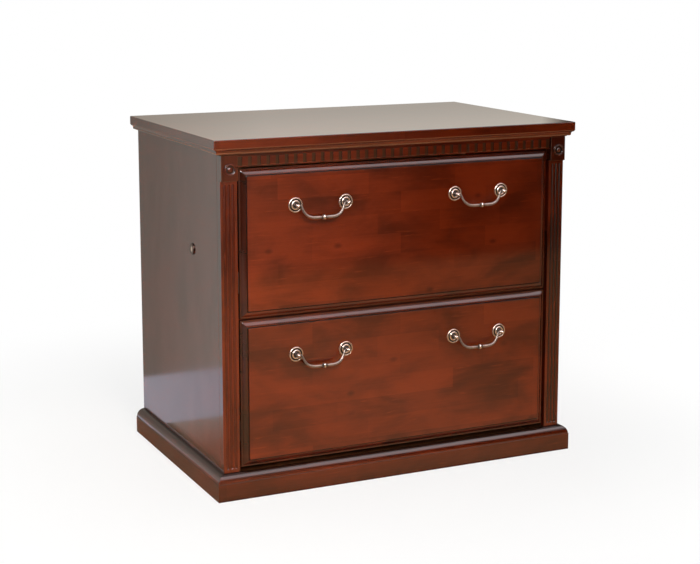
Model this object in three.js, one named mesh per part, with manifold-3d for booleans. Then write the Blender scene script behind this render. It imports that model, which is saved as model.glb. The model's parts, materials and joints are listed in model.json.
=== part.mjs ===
// A two-drawer lateral filing cabinet in stained wood: a case with fluted pilasters, a dentil rail, a cornice
// and an ovolo plinth, two file drawers on telescopic slides with swinging bail pulls, and a lock in the side.
// Millimetres, +Z up. The front faces -Y, and the origin is on the floor at the middle of the outline.
import * as THREE from "three";
import { mergeVertices } from "three/addons/utils/BufferGeometryUtils.js";
import Module from "manifold-3d";

const wasm = await Module();
wasm.setup();

// Driving dimensions: outline of the top and the plinth, and how far both stand out past the case
const overallWidth = 864;
const overallDepth = 559;
const overallHeight = 762;
const overhang = 19;

// Clearances
const mitreGap = 0.3;
const seatGap = 0.3;
const runningGap = 0.3;
const overcut = 1;
const weldDistance = 1e-4;

// Top and the cornice moulding under it
const topThickness = 20;
const topEdgeRadius = 2;
const corniceHeight = 13;
const corniceReach = 17;
const corniceFillet = 1.5;
const coveHeight = 5.5;
const coveReach = 5;
const corniceStep = 1;
const corniceBead = 3;
const corniceFoot = 5;

// Plinth moulding: a flat board, a small step and an ovolo up to the case
const plinthHeight = 56;
const plinthFlat = 38;
const plinthStep = 1;

// Case boards
const sideThickness = 18;
const bottomThickness = 18;
const backThickness = 6;
const backRabbet = 9;
const slidePostDepth = 60;
const dividerHeight = 24;
const dividerThickness = 20;
const dividerSetback = 3;

// Pilasters at the front corners, each with a leg behind it that carries the slides
const pilasterWidth = 37;
const pilasterThickness = 20;
const pilasterLegDepth = 40;
const fluteCount = 3;
const flutePitch = 9;
const fluteWidth = 6.5;
const fluteDepth = 2.5;
const fluteStop = 6;

// Corner blocks with turned rosettes, and the dentil rail between them
const blockHeight = 54;
const blockProud = 7;
const rosetteLift = 24.5;
const rosetteRadius = 13;
const rosetteRing = 3.5;
const rosetteButton = 5;
const rosetteProud = 4.5;
const rosetteHollow = 2.5;
const rosetteBond = 1;
const friezeHeight = 26.5;
const dentilRailThickness = 20;
const dentilPitch = 20.5;
const dentilWidth = 13;
const dentilHeight = 19;
const dentilProud = 3;
const dentilLip = 2.5;
const dentilMargin = 10;
const dentilBond = 1;

// Drawer fronts with a moulded edge, standing a little proud of the pilasters
const drawerGap = 4;
const drawerSideGap = 5;
const frontProud = 3.5;
const plinthReveal = 7;
const frontThickness = 22;
const edgeDrop = 9;
const edgeFillet = 3.5;
const edgeOvolo = 10.5;
const edgeQuirk = 2;
const edgeQuirkWidth = 1.5;
const edgeArris = 0.6;

// Drawer boxes and their hanging-file rails
const boxLift = 14;
const boxHeight = 254;
const boxRearGap = 42;
const boxSideThickness = 12;
const boxBottomThickness = 6;
const boxBottomLift = 8;
const fileRailThickness = 3;
const fileRailHeight = 20;
const fileRailProud = 8;
const fileRailFrontInset = 40;
const fileRailRearInset = 28;

// Telescopic slides: three nested channels on each side of a drawer
const slideHeight = 45;
const slideWidth = 12.7;
const slideGauge = 1.5;
const slideLift = 60;
const slideSetback = 3;
const slideTail = 2;

// Bail pulls: turned roses with a knuckle and a ball finial, and a bail that leans out on its stop
const pullInset = 181;
const pullSpacing = 116;
const pullHeight = 234;
const roseRadius = 16;
const roseRim = 3;
const roseRimHeight = 3;
const roseHollow = 1.4;
const roseInnerRadius = 10.4;
const roseInnerRim = 4.2;
const roseInnerHeight = 4.6;
const postRadius = 3;
const postRise = 8;
const pivotReach = 12.5;
const knuckleRadius = 3.9;
const finialReach = 17.6;
const finialRadius = 3.4;
const finialNeck = 2;
const pinRadius = 1.6;
const pinStop = 1;
const bailDrop = 27.5;
const bailLean = 12;
const bailShoulder = 2;
const bailNeckRadius = 1.9;
const bailGripRadius = 3.2;
const bailWaistRadius = 2.6;
const bailBend = 6;
const bailFall = 3;
const bailSweep = 34;
const collarRadius = 6;
const collarWidth = 4;
const collarBeadRadius = 4.4;
const collarBeadWidth = 1.8;

// Lock: a barrel in the left side, a plug whose crank lifts a bar, and two fingers on the bar
const lockSetback = 173;
const lockHeight = 507;
const lockRimRadius = 12.5;
const lockRimThickness = 2.5;
const lockRimRound = 1.2;
const lockBodyRadius = 9.5;
const lockBodyReach = 6;
const plugRadius = 6;
const plugRecess = 0.4;
const keySlotWidth = 1.6;
const keySlotLength = 7.6;
const keySlotDepth = 5;
const crankThrow = 8.5;
const crankThickness = 3;
const crankHubRadius = 4.5;
const crankEyeRadius = 3.4;
const crankPinRadius = 2;
const crankPinPlay = 0.6;
const crankPinOverrun = 1.5;
const barThickness = 3;
const barWidth = 20;
const barHead = 14;
const barFoot = 8;
const fingerWidth = 12;
const fingerHeight = 8;
const fingerDrop = 3;
const fingerTipGap = 1.7;
const notchPlay = 2;
const notchHeadroom = 4;

// Facets of round work
const turnedSides = 16;
const arcSteps = 4;
const rodSides = 10;
const bendSteps = 8;

// Planes that neighbouring pieces share
const leanAngle = THREE.MathUtils.degToRad(bailLean);
const bailOut = frontProud + pivotReach + bailDrop * Math.sin(leanAngle) + collarRadius;
const bailReach = Math.max(0, bailOut - overhang);
const frontEdge = (bailReach - overallDepth) / 2;
const backEdge = frontEdge + overallDepth;
const backInner = backEdge - backThickness;
const caseFront = frontEdge + overhang;
const caseHalf = overallWidth / 2 - overhang;
const sideInner = caseHalf - sideThickness;
const openingHalf = caseHalf - pilasterWidth;
const facingBack = caseFront + pilasterThickness;
const legBack = facingBack + pilasterLegDepth;
const topUnder = overallHeight - topThickness;
const corniceBottom = topUnder - corniceHeight;
const blockBottom = corniceBottom - blockHeight;
const blockFront = caseFront - blockProud;
const openingTop = corniceBottom - friezeHeight;
const bottomUnder = plinthHeight - bottomThickness;

// Drawer sizes that follow from the opening
const lowestFront = plinthHeight + plinthReveal;
const frontHeight = (openingTop - 2 * drawerGap - lowestFront) / 2;
const frontHalf = openingHalf - drawerSideGap;
const frontFace = caseFront - frontProud;
const frontBack = frontFace + frontThickness;
const drawerPitch = frontHeight + drawerGap;
const boxHalf = openingHalf - slideWidth;
const boxInner = boxHalf - boxSideThickness;
const boxBack = backInner - boxRearGap;
const boxBackFront = boxBack - boxSideThickness;
const boxTop = boxLift + boxHeight;
const slideFront = frontBack + slideSetback;
const slideEnd = boxBack - slideTail;
const slideMid = boxLift + slideLift;
const fileRailFronts = [frontBack + fileRailFrontInset, boxBackFront - fileRailRearInset - fileRailThickness];
const fileRailBottom = boxTop + fileRailProud - fileRailHeight;
const drawers = [
  { name: "upper", bottom: lowestFront + drawerPitch },
  { name: "lower", bottom: lowestFront },
];
const hands = [
  { name: "left", sign: -1 },
  { name: "right", sign: 1 },
];

// Lock places, with depths measured in from the outer face of the left side
const lockAxisY = caseFront + lockSetback;
const barrelDepth = sideThickness + lockBodyReach;
const crankNear = barrelDepth + runningGap;
const crankFar = crankNear + crankThickness;
const barNear = crankFar + runningGap;
const barFar = barNear + barThickness;
const crankAngle = -Math.PI / 4;
const crankPinY = lockAxisY + crankThrow * Math.cos(crankAngle);
const crankPinZ = lockHeight + crankThrow * Math.sin(crankAngle);
const barLift = 2 * crankThrow * Math.sin(-crankAngle);
const barMid = lockAxisY + crankThrow - crankPinRadius / 2;
const fingerTop = boxLift - fingerDrop;

// Finishes
const finish = (color, roughness, metalness) => new THREE.MeshStandardMaterial({ color, roughness, metalness });
const caseWood = finish(0x5a2212, 0.25, 0);
const frontWood = finish(0x6e2c1a, 0.25, 0);
const boxWood = finish(0xc7a476, 0.5, 0);
const backBoard = finish(0x6b5140, 0.7, 0);
const zincSteel = finish(0xa9adb0, 0.35, 1);
const pullMetal = finish(0x9a8478, 0.35, 1);
const lockMetal = finish(0xb9b2a2, 0.25, 1);
const railMetal = finish(0xb4b7ba, 0.4, 1);

// Axis frames: an outline is drawn flat and then turned to run along x, y or z
const axisFrames = {
  x: new THREE.Matrix4().set(0, 0, 1, 0, 1, 0, 0, 0, 0, 1, 0, 0, 0, 0, 0, 1),
  y: new THREE.Matrix4().set(1, 0, 0, 0, 0, 0, -1, 0, 0, 1, 0, 0, 0, 0, 0, 1),
  z: new THREE.Matrix4(),
};

// Turned work is drawn about local y, then faces the front or the left
const facingFront = new THREE.Matrix4().set(1, 0, 0, 0, 0, -1, 0, 0, 0, 0, -1, 0, 0, 0, 0, 1);
const facingLeft = new THREE.Matrix4().set(0, -1, 0, 0, 1, 0, 0, 0, 0, 0, 1, 0, 0, 0, 0, 1);

function addPiece(parent, name, geometry, material) {
  const mesh = new THREE.Mesh(geometry, material);
  mesh.name = name;
  parent.add(mesh);
  return mesh;
}

// Points on an elliptical arc, angles in degrees
function arc(centre, radii, from, to, steps = arcSteps) {
  return Array.from({ length: steps + 1 }, (_, i) => {
    const angle = THREE.MathUtils.degToRad(from + ((to - from) * i) / steps);
    return [centre[0] + radii[0] * Math.cos(angle), centre[1] + radii[1] * Math.sin(angle)];
  });
}

// An outline pushed along one axis; it is drawn in (y, z) for x, in (x, z) for y and in (x, y) for z
function prism(axis, outline, from, to) {
  const shape = new THREE.Shape(outline.map(([a, b]) => new THREE.Vector2(a, b)));
  const geometry = new THREE.ExtrudeGeometry(shape, { depth: to - from, bevelEnabled: false });
  const position = geometry.getAttribute("position");
  const [low, high] = axis === "y" ? [-to, -from] : [from, to];
  for (let i = 0; i < position.count; i += 1) {
    position.setZ(i, position.getZ(i) > 0 ? high : low);
  }
  return geometry.applyMatrix4(axisFrames[axis]);
}

function rectangle(a0, a1, b0, b1) {
  return [[a0, b0], [a1, b0], [a1, b1], [a0, b1]];
}

// A straight board between three pairs of planes
function board([x0, x1], [y0, y1], [z0, z1]) {
  return prism("z", rectangle(x0, x1, y0, y1), z0, z1);
}

// The pair of planes that a piece spans on the left (-1) or right (+1) side
function span(sign, near, far) {
  return sign < 0 ? [-far, -near] : [near, far];
}

// A round piece from its half profile of [radius, reach]
function turned(profile, frame, sides = turnedSides) {
  const points = profile.map(([radius, reach]) => new THREE.Vector2(radius, reach));
  return new THREE.LatheGeometry(points, sides).applyMatrix4(frame);
}

// A closed shape from corner points and triangles, with its faces pointing out
function closedShape(points, triangles) {
  const corner = points.map((point) => new THREE.Vector3(...point));
  const normal = new THREE.Vector3();
  const volume = triangles.reduce((sum, [a, b, c]) => {
    return sum + corner[a].dot(normal.crossVectors(corner[b], corner[c]));
  }, 0);
  const index = triangles.flatMap(([a, b, c]) => (volume < 0 ? [a, c, b] : [a, b, c]));
  const geometry = new THREE.BufferGeometry();
  geometry.setAttribute("position", new THREE.Float32BufferAttribute(points.flat(), 3));
  geometry.setIndex(index);
  return geometry;
}

// The skin between rings of equally many points, closed by flat caps at both ends
function ringSkin(rings, capTriangles) {
  const count = rings[0].length;
  const last = (rings.length - 1) * count;
  const triangles = capTriangles.flatMap(([a, b, c]) => [[a, c, b], [last + a, last + b, last + c]]);
  for (let ring = 0; ring < last; ring += count) {
    for (let i = 0; i < count; i += 1) {
      const next = (i + 1) % count;
      triangles.push([ring + i, ring + next, ring + count + next]);
      triangles.push([ring + i, ring + count + next, ring + count + i]);
    }
  }
  return closedShape(rings.flat(), triangles);
}

// A moulding of one section; place gives the point at each end for [distance out, height]
function mouldingRun(section, place) {
  const outline = section.map(([out, up]) => new THREE.Vector2(out, up));
  if (THREE.ShapeUtils.isClockWise(outline)) {
    outline.reverse();
  }
  const caps = THREE.ShapeUtils.triangulateShape(outline, []);
  const rings = [0, 1].map((end) => outline.map((point) => place(point.x, point.y, end)));
  return ringSkin(rings, caps);
}

// A panel through a stack of rectangles of four points each
function rectangleStack(rings) {
  return ringSkin(rings, [[0, 1, 2], [0, 2, 3]]);
}

// A solid for cutting and joining, and its geometry back again
function solidOf(geometry) {
  const bare = new THREE.BufferGeometry();
  bare.setAttribute("position", geometry.getAttribute("position").clone());
  bare.setIndex(geometry.getIndex());
  const merged = mergeVertices(bare, weldDistance);
  const index = Array.from(merged.getIndex().array);
  const triVerts = [];
  for (let i = 0; i < index.length; i += 3) {
    const [a, b, c] = index.slice(i, i + 3);
    if (a !== b && b !== c && c !== a) {
      triVerts.push(a, b, c);
    }
  }
  const vertProperties = merged.getAttribute("position").array;
  return new wasm.Manifold(new wasm.Mesh({ numProp: 3, vertProperties, triVerts: Uint32Array.from(triVerts) }));
}

function geometryOf(solid) {
  const mesh = solid.getMesh();
  const geometry = new THREE.BufferGeometry();
  geometry.setAttribute("position", new THREE.BufferAttribute(mesh.vertProperties, 3));
  geometry.setIndex(new THREE.BufferAttribute(mesh.triVerts, 1));
  return geometry;
}

function joined(first, ...others) {
  return geometryOf(others.reduce((solid, other) => solid.add(solidOf(other)), solidOf(first)));
}

function cut(first, ...others) {
  return geometryOf(others.reduce((solid, other) => solid.subtract(solidOf(other)), solidOf(first)));
}

// A pin or bore along x
function rodAlongX(radius, x0, x1, y, z, sides = turnedSides) {
  const circle = arc([y, z], [radius, radius], 0, 360, sides).slice(1);
  return prism("x", circle, x0, x1);
}

// The top: a slab with eased edges
function topPanel() {
  const side = overallWidth / 2;
  const ring = (inset, z) => {
    const corners = rectangle(-side + inset, side - inset, frontEdge + inset, backEdge - inset);
    return corners.map(([x, y]) => [x, y, z]);
  };
  const radii = [topEdgeRadius, topEdgeRadius];
  const lower = arc([topEdgeRadius, topUnder + topEdgeRadius], radii, 270, 180);
  const upper = arc([topEdgeRadius, overallHeight - topEdgeRadius], radii, 180, 90);
  return rectangleStack([...lower, ...upper].map(([inset, z]) => ring(inset, z)));
}

// Cornice section, from the foot at the case out to the fillet under the top
function corniceSection() {
  const coveTop = topUnder - corniceFillet;
  const coveBottom = coveTop - coveHeight;
  const beadTop = coveBottom - corniceStep;
  const beadBottom = beadTop - corniceBead;
  const beadOut = corniceReach - coveReach;
  return [
    [0, corniceBottom],
    [corniceFoot, corniceBottom],
    [corniceFoot, beadBottom],
    ...arc([beadOut - corniceBead, beadTop], [corniceBead, corniceBead], 270, 360),
    ...arc([corniceReach, coveBottom], [coveReach, coveHeight], 180, 90),
    [corniceReach, topUnder],
    [0, topUnder],
  ];
}

// Plinth section, from the floor up to where the ovolo meets the case
function plinthSection() {
  const ovoloOut = overhang - plinthStep;
  return [
    [0, 0],
    [overhang, 0],
    [overhang, plinthFlat],
    ...arc([0, plinthFlat], [ovoloOut, plinthHeight - plinthFlat], 0, 90, 2 * arcSteps),
  ];
}

// The front and the two side runs of a moulding, mitred at the front corners and square at the back
function addMoulding(parent, name, section) {
  const front = (out, up, end) => [(end ? 1 : -1) * (caseHalf + out), caseFront - out, up];
  addPiece(parent, `${name}_front`, mouldingRun(section, front), caseWood);
  for (const { name: hand, sign } of hands) {
    const side = (out, up, end) => {
      const y = end ? backEdge : caseFront - out + mitreGap;
      return [sign * (caseHalf + out), y, up];
    };
    addPiece(parent, `${name}_${hand}`, mouldingRun(section, side), caseWood);
  }
}

// A case side with a rabbet for the back panel
function sidePanel(sign) {
  const rabbet = sideInner + backRabbet;
  const outline = [
    [sideInner, facingBack],
    [caseHalf, facingBack],
    [caseHalf, backEdge],
    [rabbet, backEdge],
    [rabbet, backInner],
    [sideInner, backInner],
  ];
  return prism("z", outline.map(([x, y]) => [sign * x, y]), 0, topUnder);
}

// The bottom board, narrow between the pilaster legs and with a slot that guides the lock bar
function bottomPanel() {
  const outline = [
    [-openingHalf, caseFront],
    [openingHalf, caseFront],
    [openingHalf, legBack],
    [sideInner, legBack],
    [sideInner, backInner],
    [-sideInner, backInner],
    [-sideInner, legBack],
    [-openingHalf, legBack],
  ];
  const slotHalf = barWidth / 2 + runningGap;
  const slot = board(
    [barNear - runningGap - caseHalf, barFar + runningGap - caseHalf],
    [barMid - slotHalf, barMid + slotHalf],
    [bottomUnder - overcut, plinthHeight + overcut],
  );
  return cut(prism("z", outline, bottomUnder, plinthHeight), slot);
}

// A fluted pilaster with its leg; the flutes stop short of the plinth and the block
function pilaster(sign) {
  const outline = [
    [openingHalf, caseFront],
    [caseHalf, caseFront],
    [caseHalf, facingBack],
    [sideInner, facingBack],
    [sideInner, legBack],
    [openingHalf, legBack],
  ];
  const body = prism("z", outline.map(([x, y]) => [sign * x, y]), 0, blockBottom);
  const radius = (fluteWidth ** 2 / 4 + fluteDepth ** 2) / (2 * fluteDepth);
  const low = plinthHeight + fluteStop;
  const high = blockBottom - fluteStop;
  const flutes = Array.from({ length: fluteCount }, (_, i) => {
    const offset = (i - (fluteCount - 1) / 2) * flutePitch;
    const flute = new THREE.CapsuleGeometry(radius, high - low - fluteWidth, arcSteps, turnedSides);
    flute.rotateX(Math.PI / 2);
    const x = sign * (openingHalf + pilasterWidth / 2 + offset);
    return flute.translate(x, caseFront - radius + fluteDepth, (low + high) / 2);
  });
  return cut(body, ...flutes);
}

// A corner block: its face stands proud, and its tongue runs up behind the cornice
function cornerBlock(sign) {
  const outline = [
    [blockFront, blockBottom],
    [facingBack, blockBottom],
    [facingBack, topUnder],
    [caseFront, topUnder],
    [caseFront, corniceBottom],
    [blockFront, corniceBottom],
  ];
  const body = prism("x", outline, ...span(sign, openingHalf, caseHalf));
  const ringHalf = rosetteRing / 2;
  const hollow = rosetteProud - rosetteHollow;
  const profile = [
    [0, -rosetteBond],
    [rosetteRadius, -rosetteBond],
    ...arc([rosetteRadius - ringHalf, rosetteProud - ringHalf], [ringHalf, ringHalf], 0, 180),
    [rosetteRadius - rosetteRing, hollow],
    ...arc([0, hollow], [rosetteButton, rosetteHollow], 0, 90),
  ];
  const rosette = turned(profile, facingFront, 2 * turnedSides);
  rosette.translate(sign * (openingHalf + pilasterWidth / 2), blockFront, blockBottom + rosetteLift);
  return joined(body, rosette);
}

// The rail over the drawers with its row of dentils
function dentilRail() {
  const railBack = caseFront + dentilRailThickness;
  const rail = board([-openingHalf, openingHalf], [caseFront, railBack], [openingTop, topUnder]);
  const field = 2 * (openingHalf - dentilMargin) - dentilWidth;
  const count = Math.floor(field / dentilPitch) + 1;
  const low = openingTop + dentilLip;
  const dentils = Array.from({ length: count }, (_, i) => {
    const middle = (i - (count - 1) / 2) * dentilPitch;
    return board(
      [middle - dentilWidth / 2, middle + dentilWidth / 2],
      [caseFront - dentilProud, caseFront + dentilBond],
      [low, low + dentilHeight],
    );
  });
  return joined(rail, ...dentils);
}

function addCase(parent) {
  addPiece(parent, "top_panel", topPanel(), caseWood);
  addMoulding(parent, "cornice", corniceSection());
  addMoulding(parent, "plinth", plinthSection());
  const boreRadius = lockBodyRadius + seatGap;
  const boreEnds = [-caseHalf - overcut, overcut - sideInner];
  const lockBore = rodAlongX(boreRadius, ...boreEnds, lockAxisY, lockHeight);
  addPiece(parent, "side_panel_left", cut(sidePanel(-1), lockBore), caseWood);
  addPiece(parent, "side_panel_right", sidePanel(1), caseWood);
  const backHalf = sideInner + backRabbet;
  const back = board([-backHalf, backHalf], [backInner, backEdge], [bottomUnder, topUnder]);
  addPiece(parent, "back_panel", back, backBoard);
  addPiece(parent, "bottom_panel", bottomPanel(), caseWood);
  addPiece(parent, "dentil_rail", dentilRail(), caseWood);
  const dividerFront = frontBack + dividerSetback;
  const dividerMid = lowestFront + frontHeight + drawerGap / 2;
  const divider = board(
    [-openingHalf, openingHalf],
    [dividerFront, dividerFront + dividerThickness],
    [dividerMid - dividerHeight / 2, dividerMid + dividerHeight / 2],
  );
  addPiece(parent, "divider_rail", divider, caseWood);
  for (const { name, sign } of hands) {
    addPiece(parent, `pilaster_${name}`, pilaster(sign), caseWood);
    addPiece(parent, `corner_block_${name}`, cornerBlock(sign), caseWood);
    const post = board(
      span(sign, openingHalf, sideInner),
      [backInner - slidePostDepth, backInner],
      [plinthHeight, topUnder],
    );
    addPiece(parent, `slide_post_${name}`, post, boxWood);
  }
}

// The lock barrel: a rimmed tube through the left side
function lockBarrel() {
  const bore = plugRadius + runningGap;
  const face = lockRimThickness + seatGap;
  const profile = [
    [bore, -barrelDepth],
    [lockBodyRadius, -barrelDepth],
    [lockBodyRadius, seatGap],
    [lockRimRadius, seatGap],
    [lockRimRadius, face - lockRimRound],
    [lockRimRadius - lockRimRound, face],
    [bore, face],
    [bore, -barrelDepth],
  ];
  return turned(profile, facingLeft, 2 * turnedSides).translate(-caseHalf, lockAxisY, lockHeight);
}

// The lock plug: key slot outside, and a crank with its pin inside
function lockPlug() {
  const face = lockRimThickness + seatGap - plugRecess;
  const profile = [[0, -crankFar], [crankHubRadius, -crankFar], [crankHubRadius, -crankNear]];
  profile.push([plugRadius, -crankNear], [plugRadius, face], [0, face]);
  const plug = turned(profile, facingLeft, 2 * turnedSides).translate(-caseHalf, lockAxisY, lockHeight);
  const turn = THREE.MathUtils.radToDeg(crankAngle);
  const arm = [
    ...arc([lockAxisY, lockHeight], [crankHubRadius, crankHubRadius], turn + 90, turn + 270, 2 * arcSteps),
    ...arc([crankPinY, crankPinZ], [crankEyeRadius, crankEyeRadius], turn - 90, turn + 90, 2 * arcSteps),
  ];
  const crank = prism("x", arm, crankNear - caseHalf, crankFar - caseHalf);
  const pinEnd = barFar + crankPinOverrun - caseHalf;
  const pinRoot = (crankNear + crankFar) / 2 - caseHalf;
  const pin = rodAlongX(crankPinRadius, pinRoot, pinEnd, crankPinY, crankPinZ);
  const slotY = [lockAxisY - keySlotWidth / 2, lockAxisY + keySlotWidth / 2];
  const slotZ = [lockHeight - keySlotLength / 2, lockHeight + keySlotLength / 2];
  const keySlot = board([-caseHalf - face - overcut, keySlotDepth - caseHalf - face], slotY, slotZ);
  return cut(joined(plug, crank, pin), keySlot);
}

// The lock bar: a flat bar with a slot for the crank pin and a finger under each drawer's left side
function lockBar() {
  const barX = [barNear - caseHalf, barFar - caseHalf];
  const barY = [barMid - barWidth / 2, barMid + barWidth / 2];
  const bar = board(barX, barY, [bottomUnder - barFoot, crankPinZ + barHead]);
  const fingers = drawers.map(({ bottom }) => {
    const top = bottom + fingerTop;
    return board(
      [barNear - caseHalf, -boxInner - fingerTipGap],
      [barMid - fingerWidth / 2, barMid + fingerWidth / 2],
      [top - fingerHeight, top],
    );
  });
  const slotHalf = crankPinRadius + crankPinPlay;
  const slot = board(
    [barX[0] - overcut, barX[1] + overcut],
    [crankPinY - slotHalf, lockAxisY + crankThrow + slotHalf],
    [crankPinZ - slotHalf, crankPinZ + slotHalf],
  );
  return cut(joined(bar, ...fingers), slot);
}

function addLock(parent) {
  addPiece(parent, "lock_barrel", lockBarrel(), lockMetal);
  addPiece(parent, "lock_plug", lockPlug(), lockMetal);
  addPiece(parent, "lock_bar", lockBar(), zincSteel);
}

// A drawer front: square edges at the back, then a fillet, an ovolo and a quirk up to the raised field
function drawerFront() {
  const ovoloInset = edgeFillet + edgeOvolo;
  const fieldInset = ovoloInset + edgeQuirkWidth;
  const steps = [
    [0, frontThickness],
    [0, edgeDrop],
    ...arc([ovoloInset, edgeDrop], [edgeOvolo, edgeQuirk - edgeDrop], 180, 90),
    [fieldInset, edgeQuirk],
    [fieldInset + edgeArris, 0],
  ];
  const rings = steps.map(([inset, drop]) => {
    const corners = rectangle(-frontHalf + inset, frontHalf - inset, inset, frontHeight - inset);
    return corners.map(([x, z]) => [x, frontFace + drop, z]);
  });
  return rectangleStack(rings);
}

// A drawer box side: slots in its top edge hold the file rails, and the left one is notched for the lock
function drawerSide(sign) {
  const slotHalf = fileRailThickness / 2 + runningGap;
  const slotBottom = fileRailBottom - runningGap;
  const notchHalf = fingerWidth / 2 + notchPlay;
  const notchTop = fingerTop + barLift + notchHeadroom;
  const notch = [
    [barMid - notchHalf, boxLift],
    [barMid - notchHalf, notchTop],
    [barMid + notchHalf, notchTop],
    [barMid + notchHalf, boxLift],
  ];
  const railSlots = fileRailFronts.toReversed().flatMap((front) => {
    const middle = front + fileRailThickness / 2;
    return [
      [middle + slotHalf, boxTop],
      [middle + slotHalf, slotBottom],
      [middle - slotHalf, slotBottom],
      [middle - slotHalf, boxTop],
    ];
  });
  const outline = [
    [frontBack, boxLift],
    ...(sign < 0 ? notch : []),
    [boxBack, boxLift],
    [boxBack, boxTop],
    ...railSlots,
    [frontBack, boxTop],
  ];
  return prism("x", outline, ...span(sign, boxInner, boxHalf));
}

// A slide channel: level 0 is on the case, 1 runs between, and 2 is on the drawer and opens the other way
function slideChannel(sign, level) {
  const nest = slideGauge + runningGap;
  const near = level * nest;
  const far = slideWidth - (2 - level) * nest;
  const half = slideHeight / 2 - level * nest;
  const [web, lip] = level === 2 ? [far, near] : [near, far];
  const inside = web + (level === 2 ? -slideGauge : slideGauge);
  const outline = [
    [web, -half],
    [lip, -half],
    [lip, slideGauge - half],
    [inside, slideGauge - half],
    [inside, half - slideGauge],
    [lip, half - slideGauge],
    [lip, half],
    [web, half],
  ];
  const section = outline.map(([depth, up]) => [sign * (openingHalf - depth), slideMid + up]);
  return prism("y", section, slideFront, slideEnd);
}

// A turned rose: rim, hollow, inner ring, post, knuckle and ball finial; the knuckle is bored for the bail
function pullRose(sign) {
  const rimHalf = roseRim / 2;
  const innerHalf = roseInnerRim / 2;
  const innerLow = roseInnerRadius - roseInnerRim;
  const finialStart = THREE.MathUtils.radToDeg(Math.asin(finialNeck / finialRadius));
  const knuckleStart = THREE.MathUtils.radToDeg(Math.asin(postRadius / knuckleRadius));
  const knuckleEnd = THREE.MathUtils.radToDeg(Math.acos(finialNeck / knuckleRadius));
  const profile = [
    [0, seatGap],
    [roseRadius, seatGap],
    ...arc([roseRadius - rimHalf, roseRimHeight - rimHalf], [rimHalf, rimHalf], 0, 180),
    [roseRadius - roseRim, roseHollow],
    [roseInnerRadius, roseHollow],
    ...arc([roseInnerRadius - innerHalf, roseInnerHeight - innerHalf], [innerHalf, innerHalf], 0, 180),
    [innerLow, roseRimHeight],
    [postRadius, postRise],
    ...arc([0, pivotReach], [knuckleRadius, knuckleRadius], knuckleStart - 90, knuckleEnd),
    ...arc([0, finialReach], [finialRadius, finialRadius], finialStart - 90, 90),
  ];
  const boreEnds = span(-sign, -runningGap, roseRadius);
  const bore = rodAlongX(pinRadius + runningGap, ...boreEnds, -pivotReach, 0, rodSides);
  return cut(turned(profile, facingFront), bore);
}

// The bail: pins in the knuckles, bent necks, a swelling grip and a collar at the middle
function pullBail() {
  const pinTip = pullSpacing / 2 - pinStop;
  const shoulder = pullSpacing / 2 - knuckleRadius - bailShoulder;
  const bend = new THREE.CubicBezierCurve(
    new THREE.Vector2(shoulder, 0),
    new THREE.Vector2(shoulder - bailBend, 0),
    new THREE.Vector2(shoulder - bailFall, -bailDrop),
    new THREE.Vector2(shoulder - bailSweep, -bailDrop),
  );
  const half = [
    { x: pinTip, z: 0, radius: pinRadius },
    { x: shoulder + bailShoulder / 2, z: 0, radius: pinRadius },
  ];
  for (let i = 0; i <= bendSteps; i += 1) {
    const point = bend.getPoint(i / bendSteps);
    const swell = THREE.MathUtils.lerp(bailNeckRadius, bailGripRadius, i / bendSteps);
    half.push({ x: point.x, z: point.y, radius: swell });
  }
  const beadOut = collarWidth / 2 + collarBeadWidth;
  half.push({ x: beadOut, z: -bailDrop, radius: bailWaistRadius });
  half.push({ x: beadOut, z: -bailDrop, radius: collarBeadRadius });
  half.push({ x: collarWidth / 2, z: -bailDrop, radius: collarBeadRadius });
  half.push({ x: collarWidth / 2, z: -bailDrop, radius: collarRadius });
  const stations = [...half, ...half.toReversed().map((station) => ({ ...station, x: -station.x }))];
  const rings = stations.map((station, i) => {
    const before = stations[Math.max(0, i - 1)];
    const after = stations[Math.min(stations.length - 1, i + 1)];
    const along = new THREE.Vector2(after.x - before.x, after.z - before.z).normalize();
    const circle = arc([0, 0], [station.radius, station.radius], 0, 360, rodSides).slice(1);
    return circle.map(([a, b]) => [station.x - a * along.y, b, station.z + a * along.x]);
  });
  const cap = Array.from({ length: rodSides - 2 }, (_, i) => [0, i + 1, i + 2]);
  return ringSkin(rings, cap);
}

function addPull(parent, name, x) {
  const pull = new THREE.Group();
  pull.position.set(x, frontFace, pullHeight);
  for (const { name: hand, sign } of hands) {
    const rose = addPiece(pull, `${name}_pull_rose_${hand}`, pullRose(sign), pullMetal);
    rose.position.x = (sign * pullSpacing) / 2;
  }
  const bail = addPiece(pull, `${name}_pull_bail`, pullBail(), pullMetal);
  bail.position.y = -pivotReach;
  bail.rotation.x = -leanAngle;
  parent.add(pull);
}

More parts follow.
